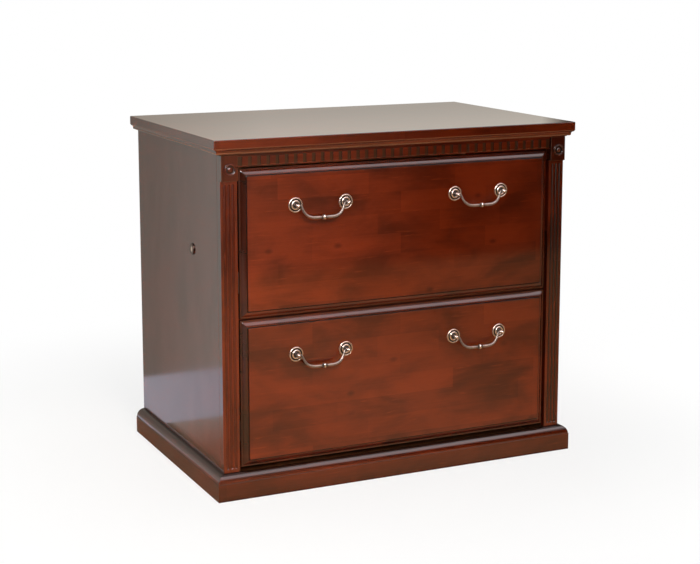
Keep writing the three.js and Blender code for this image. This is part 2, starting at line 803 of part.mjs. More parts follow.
function addDrawer(parent, name, bottom) {
  const drawer = new THREE.Group();
  drawer.position.z = bottom;
  addPiece(drawer, `${name}_drawer_front`, drawerFront(), frontWood);
  const bottomZ = [boxLift + boxBottomLift, boxLift + boxBottomLift + boxBottomThickness];
  const floor = board([-boxInner, boxInner], [frontBack, boxBackFront], bottomZ);
  addPiece(drawer, `${name}_drawer_bottom`, floor, boxWood);
  const back = board([-boxInner, boxInner], [boxBackFront, boxBack], [boxLift, boxTop]);
  addPiece(drawer, `${name}_drawer_back`, back, boxWood);
  for (const { name: hand, sign } of hands) {
    addPiece(drawer, `${name}_drawer_side_${hand}`, drawerSide(sign), boxWood);
    addPiece(drawer, `${name}_slide_outer_${hand}`, slideChannel(sign, 0), zincSteel);
    addPiece(drawer, `${name}_slide_middle_${hand}`, slideChannel(sign, 1), zincSteel);
    addPiece(drawer, `${name}_slide_inner_${hand}`, slideChannel(sign, 2), zincSteel);
    addPull(drawer, `${name}_${hand}`, sign * (frontHalf - pullInset));
  }
  ["front", "rear"].forEach((place, i) => {
    const near = fileRailFronts[i];
    const rail = board(
      [-boxHalf, boxHalf],
      [near, near + fileRailThickness],
      [fileRailBottom, fileRailBottom + fileRailHeight],
    );
    addPiece(drawer, `${name}_file_rail_${place}`, rail, railMetal);
  });
  parent.add(drawer);
}

const cabinet = new THREE.Group();
addCase(cabinet);
addLock(cabinet);
drawers.forEach(({ name, bottom }) => addDrawer(cabinet, name, bottom));

export default cabinet;
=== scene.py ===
"""Looks of a two-drawer lateral filing cabinet in lacquered, cherry-stained wood.

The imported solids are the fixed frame. Moulded, turned, fluted and carved pieces are modelled here with
smooth curves, plain boards and channels are copies of their solids with eased edges, and every piece
gets a procedural finish. Metres, +Z up, and the front faces -Y.
"""

import json
import logging
import math
from collections.abc import Callable, Sequence
from dataclasses import dataclass
from enum import Enum

import bmesh
import bpy
from bmesh.types import BMEdge, BMesh, BMFace, BMVert
from mathutils import Matrix, Vector

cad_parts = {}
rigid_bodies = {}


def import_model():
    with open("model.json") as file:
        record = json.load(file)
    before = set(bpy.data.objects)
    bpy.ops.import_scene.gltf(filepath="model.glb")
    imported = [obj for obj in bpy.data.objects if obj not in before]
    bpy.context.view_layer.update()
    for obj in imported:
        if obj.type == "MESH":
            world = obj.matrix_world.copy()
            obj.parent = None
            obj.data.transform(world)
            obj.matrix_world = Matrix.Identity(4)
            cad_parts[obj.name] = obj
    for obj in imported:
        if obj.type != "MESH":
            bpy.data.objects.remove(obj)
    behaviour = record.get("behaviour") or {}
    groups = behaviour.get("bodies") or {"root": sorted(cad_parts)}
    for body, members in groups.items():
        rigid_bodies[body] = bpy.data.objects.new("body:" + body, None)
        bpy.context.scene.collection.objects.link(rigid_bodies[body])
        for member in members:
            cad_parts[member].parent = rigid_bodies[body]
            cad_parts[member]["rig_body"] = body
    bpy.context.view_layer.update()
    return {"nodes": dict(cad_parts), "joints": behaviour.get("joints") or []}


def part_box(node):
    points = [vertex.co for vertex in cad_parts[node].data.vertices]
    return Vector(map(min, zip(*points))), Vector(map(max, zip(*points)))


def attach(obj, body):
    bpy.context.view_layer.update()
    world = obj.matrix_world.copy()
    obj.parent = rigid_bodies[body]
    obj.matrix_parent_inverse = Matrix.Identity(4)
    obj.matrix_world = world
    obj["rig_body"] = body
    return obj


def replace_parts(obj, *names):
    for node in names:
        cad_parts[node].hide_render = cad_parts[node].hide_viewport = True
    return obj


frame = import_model()

log = logging.getLogger("cabinet")

MM = 0.001
FULL_TURN = 2 * math.pi
WELD = 1e-6
FLAT = math.radians(0.5)
CREASE = math.radians(50)
CORNER = math.radians(40)
TURNED_STEPS = 64


class Side(Enum):
    """The two sides of the cabinet, as the sign of X."""

    LEFT = -1
    RIGHT = 1

    @property
    def word(self) -> str:
        """The side's name in piece names."""
        return self.name.lower()


class Level(Enum):
    """The two drawers."""

    UPPER = "upper"
    LOWER = "lower"


class Grain(Enum):
    """A board's axes: along the grain, across it on the show face, and into the depth."""

    X_ON_FRONT = ("X", "Z", "Y")
    X_ON_TOP = ("X", "Y", "Z")
    Y_ON_SIDE = ("Y", "Z", "X")
    Z_ON_FRONT = ("Z", "X", "Y")
    Z_ON_SIDE = ("Z", "Y", "X")


# Colour and shader nodes

# The Mix node's share, the two colours that go in and the colour that comes out
SHARE, UNDER, OVER, MIXED = 0, 6, 7, 2
COLOURS = {"data_type": "RGBA"}
SMOOTH = {"interpolation_type": "SMOOTHSTEP"}
MULTIPLY = {"operation": "MULTIPLY"}
MULTIPLY_ADD = {"operation": "MULTIPLY_ADD"}


def linear(hex_code: str) -> tuple[float, float, float, float]:
    """Turns an sRGB hex colour into linear RGBA.

    Args:
        hex_code: The colour as #rrggbb.

    Returns:
        Linear red, green, blue and an alpha of 1.
    """
    channels = [int(hex_code[i:i + 2], 16) / 255 for i in (1, 3, 5)]
    red, green, blue = (c / 12.92 if c <= 0.04045 else ((c + 0.055) / 1.055) ** 2.4 for c in channels)
    return red, green, blue, 1.0


def add_node(
    tree: bpy.types.NodeTree, kind: str, settings: dict | None = None, inputs: dict | None = None
) -> bpy.types.Node:
    """Adds a shader node with its settings, socket values and links.

    Args:
        tree: The node tree that gets the node.
        kind: The node's type name after ShaderNode, with which all begin.
        settings: Attributes of the node by name.
        inputs: A value, or an output socket to link from, for each input by name or index.

    Returns:
        The new node.
    """
    node = tree.nodes.new(f"ShaderNode{kind}")
    for name, value in (settings or {}).items():
        setattr(node, name, value)
    for socket, value in (inputs or {}).items():
        if isinstance(value, bpy.types.NodeSocket):
            tree.links.new(value, node.inputs[socket])
        else:
            node.inputs[socket].default_value = value
    return node


@dataclass(frozen=True)
class Finish:
    """A surface finish, named for its real material and how the surface was made."""

    name: str

    def material(self) -> bpy.types.Material:
        """Gives the finish's material, which is made on first use.

        Returns:
            The Blender material.
        """
        made = bpy.data.materials.get(self.name)
        if made is None:
            made = bpy.data.materials.new(self.name)
            made.use_nodes = True
            made.node_tree.nodes.clear()
            shader = self.shade(made.node_tree)
            add_node(made.node_tree, "OutputMaterial", inputs={"Surface": shader.outputs[0]})
        return made

    def shade(self, tree: bpy.types.NodeTree) -> bpy.types.Node:
        """Adds the finish's shader nodes, and is written by each kind of finish."""
        raise NotImplementedError


@dataclass(frozen=True)
class Mottle:
    """A soft pattern of real length and width, whose noise values from low to high become 0 to 1."""

    length: float
    width: float
    low: float
    high: float
    detail: float = 3.0
    distortion: float = 0.4


@dataclass(frozen=True)
class GrainedFinish(Finish):
    """A finish whose pattern follows the grain of a board or the working of a metal."""

    grain: Grain

    def along_grain(self, tree: bpy.types.NodeTree) -> bpy.types.NodeSocket:
        """Turns object coordinates so that X runs with the grain and Y across the show face.

        Args:
            tree: The material's node tree.

        Returns:
            The turned coordinates, in metres.
        """
        place = add_node(tree, "TexCoord")
        parts = add_node(tree, "SeparateXYZ", inputs={0: place.outputs["Object"]})
        turned_axes = {to: parts.outputs[axis] for to, axis in zip("XYZ", self.grain.value)}
        return add_node(tree, "CombineXYZ", inputs=turned_axes).outputs[0]

    def stretched(
        self, tree: bpy.types.NodeTree, board: bpy.types.NodeSocket, length: float, width: float
    ) -> bpy.types.NodeSocket:
        """Scales board coordinates so that one unit is a pattern's real length and width.

        Args:
            tree: The material's node tree.
            board: Coordinates along the grain.
            length: The pattern's size with the grain.
            width: The pattern's size across the grain.

        Returns:
            The scaled coordinates.
        """
        size = {0: board, 1: (length, width, width)}
        return add_node(tree, "VectorMath", {"operation": "DIVIDE"}, size).outputs[0]

    def mottled(
        self, tree: bpy.types.NodeTree, board: bpy.types.NodeSocket, mottle: Mottle
    ) -> bpy.types.NodeSocket:
        """Lays a mottle along the grain.

        Args:
            tree: The material's node tree.
            board: Coordinates along the grain.
            mottle: The pattern.

        Returns:
            The pattern, from 0 to 1.
        """
        place = self.stretched(tree, board, mottle.length, mottle.width)
        make = {"Vector": place, "Scale": 1.0, "Detail": mottle.detail, "Distortion": mottle.distortion}
        noise = add_node(tree, "TexNoise", inputs=make)
        spread = {"Value": noise.outputs[0], "From Min": mottle.low, "From Max": mottle.high}
        return add_node(tree, "MapRange", SMOOTH, spread).outputs[0]

    def summed(
        self, tree: bpy.types.NodeTree, patterns: Sequence[tuple[bpy.types.NodeSocket, float]]
    ) -> bpy.types.NodeSocket:
        """Adds up patterns, each by its share of the tone.

        Args:
            tree: The material's node tree.
            patterns: Each pattern with its share.

        Returns:
            The tone.
        """
        tone: bpy.types.NodeSocket | float = 0.0
        for pattern, share in patterns:
            tone = add_node(tree, "Math", MULTIPLY_ADD, {0: pattern, 1: share, 2: tone}).outputs[0]
        return tone


@dataclass(frozen=True)
class LacqueredCherry(GrainedFinish):
    """Glued-up solid wood, wiped with dark cherry stain and sprayed with clear gloss lacquer.

    The eye sees red-brown staves of slightly different tone, darker clouds where the stain went in
    deeper, thin flames, a few small knots, and dark glaze with painted shade in the hollows, gaps
    and shaded sides, all under a smooth wet-looking coat.
    """

    light: str = "#78290f"
    dark: str = "#491707"
    pooled: str = "#2c0e06"
    flame: str = "#903615"
    # Colour of the glaze and of the painted shade that the mesh's attribute lays in hollows, gaps and shaded
    # sides
    glaze: str = "#1a0d07"
    stave_length: float = 210 * MM
    stave_width: float = 45 * MM
    stave_share: float = 0.34
    clouds: Mottle = Mottle(150 * MM, 70 * MM, 0.30, 0.68)
    cloud_share: float = 0.50
    streaks: Mottle = Mottle(90 * MM, 3.2 * MM, 0.30, 0.70)
    streak_share: float = 0.16
    flames: Mottle = Mottle(60 * MM, 5 * MM, 0.60, 0.86)
    flame_share: float = 0.8
    knot_spacing: tuple[float, float] = (170 * MM, 105 * MM)
    knot_choice: tuple[float, float] = (0.52, 0.56)
    knot_rim: float = 0.08
    knot_core: float = 0.01
    knot_share: float = 0.5
    # Real pores are finer, and are drawn this coarse so that they show
    pores: Mottle = Mottle(9 * MM, 0.5 * MM, 0.62, 0.80, detail=1.0)
    pore_share: float = 0.35
    pore_relief: float = 0.15
    pore_depth: float = 0.1 * MM
    wood_roughness: float = 0.45
    coat_ior: float = 1.5
    gloss: float = 0.07

    def shade(self, tree: bpy.types.NodeTree) -> bpy.types.Node:
        """Adds staves, clouds, streaks, flames, knots and pores under a lacquer coat.

        Args:
            tree: The material's node tree.

        Returns:
            The surface shader.
        """
        board = self.along_grain(tree)
        stave = add_node(
            tree,
            "TexBrick",
            {"offset": 0.37, "offset_frequency": 2, "squash": 0.72, "squash_frequency": 3},
            {
                "Vector": board,
                "Color1": linear("#000000"),
                "Color2": linear("#ffffff"),
                "Scale": 1.0,
                "Mortar Size": 0.0,
                "Brick Width": self.stave_length,
                "Row Height": self.stave_width,
            },
        )
        tone = self.summed(
            tree,
            [
                (stave.outputs["Color"], self.stave_share),
                (self.mottled(tree, board, self.clouds), self.cloud_share),
                (self.mottled(tree, board, self.streaks), self.streak_share),
            ],
        )
        spacing = {"Vector": self.stretched(tree, board, *self.knot_spacing), "Scale": 1.0}
        spots = add_node(tree, "TexVoronoi", {"voronoi_dimensions": "2D"}, spacing)
        choice = {"From Min": self.knot_choice[0], "From Max": self.knot_choice[1]}
        kept = add_node(tree, "MapRange", inputs={"Value": spots.outputs["Color"], **choice})
        span = {"From Min": self.knot_rim, "From Max": self.knot_core, "To Max": self.knot_share}
        core = add_node(tree, "MapRange", SMOOTH, {"Value": spots.outputs["Distance"], **span})
        pores = self.mottled(tree, board, self.pores)
        # The mesh's attribute lays glaze and painted shade, darkening hollows, gaps and shaded sides
        patina = add_node(tree, "Attribute", {"attribute_name": "patina"})
        layers = [
            (tone, 1.0, self.light),
            (self.mottled(tree, board, self.flames), self.flame_share, self.flame),
            (kept.outputs[0], core.outputs[0], self.pooled),
            (pores, self.pore_share, self.pooled),
            (patina.outputs["Fac"], 1.0, self.glaze),
        ]
        colour = linear(self.dark)
        for pattern, depth, over in layers:
            share = add_node(tree, "Math", MULTIPLY, {0: pattern, 1: depth})
            laid = {SHARE: share.outputs[0], UNDER: colour, OVER: linear(over)}
            colour = add_node(tree, "Mix", COLOURS, laid).outputs[MIXED]
        sunk = {"Height": pores, "Strength": self.pore_relief, "Distance": self.pore_depth}
        relief = add_node(tree, "Bump", {"invert": True}, sunk)
        return add_node(
            tree,
            "BsdfPrincipled",
            inputs={
                "Base Color": colour,
                "Roughness": self.wood_roughness,
                "Specular IOR Level": 0.0,
                "Coat Weight": 1.0,
                "Coat Roughness": self.gloss,
                "Coat IOR": self.coat_ior,
                "Normal": relief.outputs[0],
            },
        )


@dataclass(frozen=True)
class PaleBoxWood(GrainedFinish):
    """Pale birch, planed and sealed with thin satin lacquer.

    The eye sees honey-white boards with fine straight grain and a dull sheen.
    """

    light: str = "#dcc39c"
    dark: str = "#bd9a6b"
    bands: Mottle = Mottle(400 * MM, 22 * MM, 0.30, 0.70)
    band_share: float = 0.55
    lines: Mottle = Mottle(120 * MM, 1.6 * MM, 0.35, 0.75, detail=5.0)
    line_share: float = 0.45
    line_relief: float = 0.1
    line_depth: float = 0.1 * MM
    sheen: float = 0.42
    specular: float = 0.4

    def shade(self, tree: bpy.types.NodeTree) -> bpy.types.Node:
        """Adds broad bands and fine grain lines under a satin coat.

        Args:
            tree: The material's node tree.

        Returns:
            The surface shader.
        """
        board = self.along_grain(tree)
        bands = self.mottled(tree, board, self.bands)
        lines = self.mottled(tree, board, self.lines)
        tone = self.summed(tree, [(lines, self.line_share), (bands, self.band_share)])
        laid = {SHARE: tone, UNDER: linear(self.light), OVER: linear(self.dark)}
        colour = add_node(tree, "Mix", COLOURS, laid)
        raised = {"Height": lines, "Strength": self.line_relief, "Distance": self.line_depth}
        relief = add_node(tree, "Bump", inputs=raised)
        return add_node(
            tree,
            "BsdfPrincipled",
            inputs={
                "Base Color": colour.outputs[MIXED],
                "Roughness": self.sheen,
                "Specular IOR Level": self.specular,
                "Normal": relief.outputs[0],
            },
        )


@dataclass(frozen=True)
class StainedHardboard(Finish):
    """Pressed hardboard with a thin brown stain.

    The eye sees a matt, fibrous, evenly brown sheet with small darker and lighter flecks.
    """

    light: str = "#6d4a36"
    dark: str = "#4a2e20"
    fleck: float = 5 * MM
    fleck_relief: float = 0.25
    fleck_depth: float = 0.2 * MM
    cloud: float = 160 * MM
    cloud_share: float = 0.35
    spread: tuple[float, float] = (0.45, 0.9)
    roughness: float = 0.72

    def shade(self, tree: bpy.types.NodeTree) -> bpy.types.Node:
        """Adds fibre flecks and a broad mottle.

        Args:
            tree: The material's node tree.

        Returns:
            The surface shader.
        """
        place = add_node(tree, "TexCoord").outputs["Object"]
        fibres = {"Vector": place, "Scale": 1 / self.fleck, "Detail": 4.0, "Distortion": 1.2}
        flecks = add_node(tree, "TexNoise", inputs=fibres).outputs[0]
        clouds = add_node(tree, "TexNoise", inputs={"Vector": place, "Scale": 1 / self.cloud, "Detail": 2.0})
        tone = add_node(tree, "Math", MULTIPLY_ADD, {0: clouds.outputs[0], 1: self.cloud_share, 2: flecks})
        low, high = self.spread
        spread = {"Value": tone.outputs[0], "From Min": low, "From Max": high}
        share = add_node(tree, "MapRange", inputs=spread).outputs[0]
        laid = {SHARE: share, UNDER: linear(self.dark), OVER: linear(self.light)}
        colour = add_node(tree, "Mix", COLOURS, laid).outputs[MIXED]
        raised = {"Height": flecks, "Strength": self.fleck_relief, "Distance": self.fleck_depth}
        relief = add_node(tree, "Bump", inputs=raised).outputs[0]
        surface = {"Base Color": colour, "Roughness": self.roughness, "Normal": relief}
        return add_node(tree, "BsdfPrincipled", inputs=surface)


@dataclass(frozen=True)
class AntiquePewter(Finish):
    """Cast metal plated in pewter, blackened and rubbed back.

    The eye sees warm grey metal that is bright and a little pink on every crest, and almost black in
    the hollows where the blackening stayed.
    """

    bright: str = "#cdbab0"
    dark: str = "#2b2422"
    rubbing: float = 2.5 * MM
    rubbing_share: float = 0.5
    spread: tuple[float, float] = (0.30, 1.05)
    smooth: float = 0.24
    rough: float = 0.55

    def shade(self, tree: bpy.types.NodeTree) -> bpy.types.Node:
        """Adds blackening from the mesh's patina attribute, broken up by fine noise.

        Args:
            tree: The material's node tree.

        Returns:
            The surface shader.
        """
        place = add_node(tree, "TexCoord").outputs["Object"]
        patina = add_node(tree, "Attribute", {"attribute_name": "patina"}).outputs["Fac"]
        wear = {"Vector": place, "Scale": 1 / self.rubbing, "Detail": 3.0}
        rubbing = add_node(tree, "TexNoise", inputs=wear).outputs[0]
        shifted = add_node(tree, "Math", MULTIPLY_ADD, {0: rubbing, 1: self.rubbing_share, 2: patina})
        low, high = self.spread
        spread = {"Value": shifted.outputs[0], "From Min": low, "From Max": high}
        blackened = add_node(tree, "MapRange", SMOOTH, spread).outputs[0]
        laid = {SHARE: blackened, UNDER: linear(self.bright), OVER: linear(self.dark)}
        colour = add_node(tree, "Mix", COLOURS, laid).outputs[MIXED]
        dulling = {"Value": blackened, "To Min": self.smooth, "To Max": self.rough}
        dullness = add_node(tree, "MapRange", inputs=dulling).outputs[0]
        surface = {"Base Color": colour, "Metallic": 1.0, "Roughness": dullness}
        return add_node(tree, "BsdfPrincipled", inputs=surface)


@dataclass(frozen=True)
class WorkedMetal(GrainedFinish):
    """Rolled, drawn or polished metal whose fine working lines run along one axis.

    The eye sees one even metal colour with faint lines and a roughness that varies along them.
    """

    light: str
    dark: str
    smooth: float
    rough: float
    # Real working lines are finer, and are drawn this coarse so that they show
    lines: Mottle = Mottle(60 * MM, 0.8 * MM, 0.30, 0.70, detail=4.0)

    def shade(self, tree: bpy.types.NodeTree) -> bpy.types.Node:
        """Adds working lines to the colour and the roughness.

        Args:
            tree: The material's node tree.

        Returns:
            The surface shader.
        """
        lines = self.mottled(tree, self.along_grain(tree), self.lines)
        laid = {SHARE: lines, UNDER: linear(self.light), OVER: linear(self.dark)}
        colour = add_node(tree, "Mix", COLOURS, laid).outputs[MIXED]
        dulling = {"Value": lines, "To Min": self.smooth, "To Max": self.rough}
        roughness = add_node(tree, "MapRange", inputs=dulling).outputs[0]
        surface = {"Base Color": colour, "Metallic": 1.0, "Roughness": roughness}
        return add_node(tree, "BsdfPrincipled", inputs=surface)


# The finishes of this cabinet
TOP_WOOD = LacqueredCherry("lacquered cherry top", Grain.X_ON_TOP, flame_share=0.3, knot_share=0.2)
SIDE_WOOD = LacqueredCherry(
    "lacquered cherry side",
    Grain.Z_ON_SIDE,
    stave_share=0.1,
    cloud_share=0.4,
    streak_share=0.05,
    flame_share=0.1,
    knot_share=0.0,
    gloss=0.12,
)
FRONT_RUN_WOOD = LacqueredCherry("lacquered cherry front moulding", Grain.X_ON_FRONT, stave_length=420 * MM)
SIDE_RUN_WOOD = LacqueredCherry("lacquered cherry side moulding", Grain.Y_ON_SIDE, stave_length=420 * MM)
UPRIGHT_WOOD = LacqueredCherry("lacquered cherry pilaster", Grain.Z_ON_FRONT, stave_share=0.15)
FIELD_WOOD = LacqueredCherry(
    "lacquered cherry drawer field",
    Grain.X_ON_FRONT,
    light="#7b2a10",
    dark="#411406",
    cloud_share=0.58,
    streak_share=0.08,
    flame_share=0.55,
)
# Rubbed-through edges, also used as a painted highlight on edges that face the bright floor or the light
RUBBED_AND_HIGHLIT_WOOD = LacqueredCherry(
    "lacquered cherry rubbed edge", Grain.X_ON_FRONT, light="#824a2e", dark="#713c24", flame="#8e5536"
)
# Painted shade for the gaps between the dentils and for the bottom board under the lower drawer
SHADED_GAP_WOOD = LacqueredCherry(
    "lacquered cherry glazed gap", Grain.X_ON_FRONT, light="#4a2a18", dark="#382012", flame="#50301f"
)
BOX_SIDE_WOOD = PaleBoxWood("lacquered birch box side", Grain.Y_ON_SIDE)
BOX_BACK_WOOD = PaleBoxWood("lacquered birch box back", Grain.X_ON_FRONT)
BOX_FLOOR_WOOD = PaleBoxWood("lacquered birch box bottom", Grain.X_ON_TOP)
POST_WOOD = PaleBoxWood("lacquered birch post", Grain.Z_ON_SIDE)
BACK_BOARD = StainedHardboard("stained hardboard")
PEWTER = AntiquePewter("antique pewter")
NICKEL = WorkedMetal("polished nickel plate", Grain.Z_ON_SIDE, "#d8cabd", "#b7a99c", 0.16, 0.30)
BRONZE = WorkedMetal("dark bronze plate", Grain.Z_ON_SIDE, "#54413a", "#3f302a", 0.22, 0.36)
ZINC = WorkedMetal("zinc plated rolled steel", Grain.Y_ON_SIDE, "#c3c6c8", "#9fa3a6", 0.26, 0.44)
ALUMINIUM = WorkedMetal("anodised aluminium", Grain.X_ON_FRONT, "#c8cacb", "#b0b3b5", 0.30, 0.42)


# Mesh work


def arc(
    centre: tuple[float, float], radii: tuple[float, float], start: float, end: float, steps: int = 12
) -> list[tuple[float, float]]:
    """Gives points on an elliptical arc.

    Args:
        centre: The arc's centre.
        radii: Its two half axes.
        start: The first angle in degrees.
        end: The last angle in degrees.
        steps: How many chords the arc has.

    Returns:
        The points, with both ends.
    """
    angles = [math.radians(start + (end - start) * i / steps) for i in range(steps + 1)]
    return [(centre[0] + radii[0] * math.cos(a), centre[1] + radii[1] * math.sin(a)) for a in angles]


def board(low: Vector, high: Vector) -> BMesh:
    """Starts a mesh as a straight board.

    Args:
        low: Its lowest corner.
        high: Its highest corner.

    Returns:
        The mesh.
    """
    bm = bmesh.new()
    place = Matrix.Translation((low + high) / 2) @ Matrix.Diagonal((*(high - low), 1.0))
    bmesh.ops.create_cube(bm, size=1.0, matrix=place)
    return bm


def pushed_outline(bm: BMesh, outline: Sequence[Vector]) -> list[BMVert]:
    """Fills a closed outline and extrudes it in place, ready to be moved.

    Args:
        bm: The mesh that gets the faces.
        outline: The corners in order.

    Returns:
        The vertices of the extruded end.
    """
    start = bm.faces.new([bm.verts.new(point) for point in outline])
    pushed = bmesh.ops.extrude_face_region(bm, geom=[start], use_keep_orig=True)
    return [part for part in pushed["geom"] if isinstance(part, BMVert)]


def prism(outline: Sequence[Vector], push: Vector) -> BMesh:
    """Starts a mesh as an outline pushed along a straight line.

    Args:
        outline: The corners in order.
        push: The way and distance of the push.

    Returns:
        The mesh.
    """
    bm = bmesh.new()
    bmesh.ops.translate(bm, vec=push, verts=pushed_outline(bm, outline))
    return bm


def turned(profile: Sequence[tuple[float, ...]], place: Matrix, closed: bool = False) -> BMesh:
    """Turns a half profile about its axis.

    Args:
        profile: Radius, reach and, where it has one, patina or painted shade of each point.
        place: Where the axis stands and which way reach points, as local Z.
        closed: Whether the profile ends where it starts, as round a bore.

    Returns:
        The mesh, with the patina and painted shade of its points as an attribute.
    """
    bm = bmesh.new()
    layer = bm.verts.layers.float.new("patina")
    points = []
    for radius, reach, *patina in profile:
        points.append(bm.verts.new((radius, 0.0, reach)))
        points[-1][layer] = patina[0] if patina else 0.0
    ends = [*points[1:], points[0]] if closed else points[1:]
    edges = [bm.edges.new(pair) for pair in zip(points, ends)]
    bmesh.ops.spin(
        bm,
        geom=[*points, *edges],
        cent=(0.0, 0.0, 0.0),
        axis=(0.0, 0.0, 1.0),
        angle=FULL_TURN,
        steps=TURNED_STEPS,
        use_merge=True,
    )
    bmesh.ops.remove_doubles(bm, verts=bm.verts[:], dist=WELD)
    bmesh.ops.recalc_face_normals(bm, faces=bm.faces[:])
    bmesh.ops.transform(bm, matrix=place, verts=bm.verts[:])
    return bm


def facing_front(point: Vector) -> Matrix:
    """Places turned work at a point, reaching towards the front."""
    return Matrix.Translation(point) @ Matrix.Rotation(math.radians(90), 4, "X")


def facing_left(point: Vector) -> Matrix:
    """Places turned work at a point, reaching towards the left."""
    return Matrix.Translation(point) @ Matrix.Rotation(math.radians(-90), 4, "Y")


def rod_along_x(centre: Vector, radius: float, length: float, segments: int = 24) -> BMesh:
    """Starts a mesh as a round rod along X.

    Args:
        centre: The rod's middle.
        radius: Its radius.
        length: Its length.
        segments: Its sides.

    Returns:
        The mesh.
    """
    bm = bmesh.new()
    bmesh.ops.create_cone(
        bm,
        cap_ends=True,
        segments=segments,
        radius1=radius,
        radius2=radius,
        depth=length,
        matrix=Matrix.Translation(centre) @ Matrix.Rotation(math.radians(90), 4, "Y"),
    )
    return bm


def ease(bm: BMesh, width: float, segments: int = 2, finish: int = -1) -> BMesh:
    """Rounds every sharp corner of a mesh a little, as sanding does.

    Args:
        bm: The mesh.
        width: How far back each corner is taken.
        segments: Steps of the rounding.
        finish: The rounding's material index, or -1 for that of the faces beside it.

    Returns:
        The same mesh.
    """
    corners = [edge for edge in bm.edges if edge.calc_face_angle(0.0) > CORNER]
    bmesh.ops.bevel(
        bm,
        geom=corners,
        offset=width,
        affect="EDGES",
        segments=segments,
        profile=0.5,
        material=finish,
        clamp_overlap=True,
        face_strength_mode="AFFECTED",
    )
    return bm


def glaze(bm: BMesh, rule: Callable[[Vector], float]) -> BMesh:
    """Lays glaze and painted shade on a mesh, darker in its hollows and shaded places.

    Args:
        bm: The mesh.
        rule: Gives the glaze and painted shade at a point.

    Returns:
        The same mesh.
    """
    layer = bm.verts.layers.float.get("patina") or bm.verts.layers.float.new("patina")
    for vert in bm.verts:
        vert[layer] = rule(vert.co)
    return bm


def rub(bm: BMesh, rule: Callable[[BMFace], bool]) -> BMesh:
    """Gives the faces where stain was rubbed through, or where a highlight is painted, the piece's second
    finish.

    Args:
        bm: The mesh.
        rule: Tells whether a face is rubbed or painted as highlit.

    Returns:
        The same mesh.
    """
    bm.normal_update()
    for face in bm.faces:
        if rule(face):
            face.material_index = 1
    return bm


def carve(bm: BMesh, cutters: Sequence[BMesh]) -> BMesh:
    """Cuts closed shapes out of a closed mesh.

    Args:
        bm: The mesh that is cut.
        cutters: The shapes, which are used up.

    Returns:
        The same mesh.
    """
    scratch = []
    for work in (bm, *cutters):
        mesh = bpy.data.meshes.new("scratch")
        work.to_mesh(mesh)
        scratch.append(bpy.data.objects.new("scratch", mesh))
        bpy.context.scene.collection.objects.link(scratch[-1])
    for tool in scratch[1:]:
        cut = scratch[0].modifiers.new("cut", "BOOLEAN")
        cut.operation = "DIFFERENCE"
        cut.solver = "EXACT"
        cut.object = tool
    result = bpy.data.meshes.new_from_object(
        scratch[0].evaluated_get(bpy.context.evaluated_depsgraph_get())
    )
    bm.clear()
    bm.from_mesh(result)
    bpy.data.meshes.remove(result)
    for used in scratch:
        bpy.data.meshes.remove(used.data)
    for cutter in cutters:
        cutter.free()
    return bm


def solid_copy(node: str) -> BMesh:
    """Copies a solid's mesh, with its loose triangles merged into flat faces.

    Args:
        node: The solid's name.

    Returns:
        The copy.
    """
    bm = bmesh.new()
    bm.from_mesh(frame["nodes"][node].data)
    bmesh.ops.remove_doubles(bm, verts=bm.verts[:], dist=WELD)
    bmesh.ops.dissolve_limit(bm, angle_limit=FLAT, verts=bm.verts[:], edges=bm.edges[:])
    return bm


def show(name: str, bm: BMesh, finishes: Sequence[Finish], body: str) -> bpy.types.Object:
    """Turns a mesh under work into a finished piece that moves with a body.

    Args:
        name: The piece's name.
        bm: The mesh, which is used up.
        finishes: Its finishes, in the order of the faces' material indices.
        body: The body that carries it.

    Returns:
        The piece.
    """
    bmesh.ops.remove_doubles(bm, verts=bm.verts[:], dist=WELD)
    bmesh.ops.recalc_face_normals(bm, faces=bm.faces[:])
    mesh = bpy.data.meshes.new(name)
    bm.to_mesh(mesh)
    bm.free()
    mesh.shade_smooth()
    mesh.set_sharp_from_angle(angle=CREASE)
    for finish in finishes:
        mesh.materials.append(finish.material())
    piece = bpy.data.objects.new(name, mesh)
    bpy.context.scene.collection.objects.link(piece)
    even = piece.modifiers.new("even flats", "WEIGHTED_NORMAL")
    even.keep_sharp = True
    even.use_face_influence = True
    even.weight = 100
    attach(piece, body)
    log.info("%s on %s, %d faces", name, body, len(mesh.polygons))
    return piece


def stand_for(node: str, bm: BMesh, *finishes: Finish) -> bpy.types.Object:
    """Shows a finished piece in place of a solid.

    Args:
        node: The solid's name.
        bm: The finished mesh, which is used up.
        *finishes: Its finishes.

    Returns:
        The piece.
    """
    body = frame["nodes"][node]["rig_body"]
    piece = show(f"{node}_finished", bm, finishes, body)
    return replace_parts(piece, node)


def dress(node: str, finish: Finish) -> None:
    """Gives a solid that is shown as it is its finish.

    Args:
        node: The solid's name.
        finish: Its finish.
    """
    materials = frame["nodes"][node].data.materials
    materials.clear()
    materials.append(finish.material())
    log.info("%s dressed in %s", node, finish.name)


# The case


@dataclass
class TopPanel:
    """The top: a slab with rounded upper and lower edges."""

    edge_radius: float = 2 * MM
    edge_steps: int = 5

    def build(self) -> None:
        """Builds and dresses the top."""
        slab = ease(board(*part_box("top_panel")), self.edge_radius, self.edge_steps)
        # The downward-facing rounding of the lower edge gets the lighter wood as a painted reflection of the
        # bright floor
        rub(slab, lambda face: -0.95 < face.normal.z < -0.1)
        stand_for("top_panel", slab, TOP_WOOD, RUBBED_AND_HIGHLIT_WOOD)


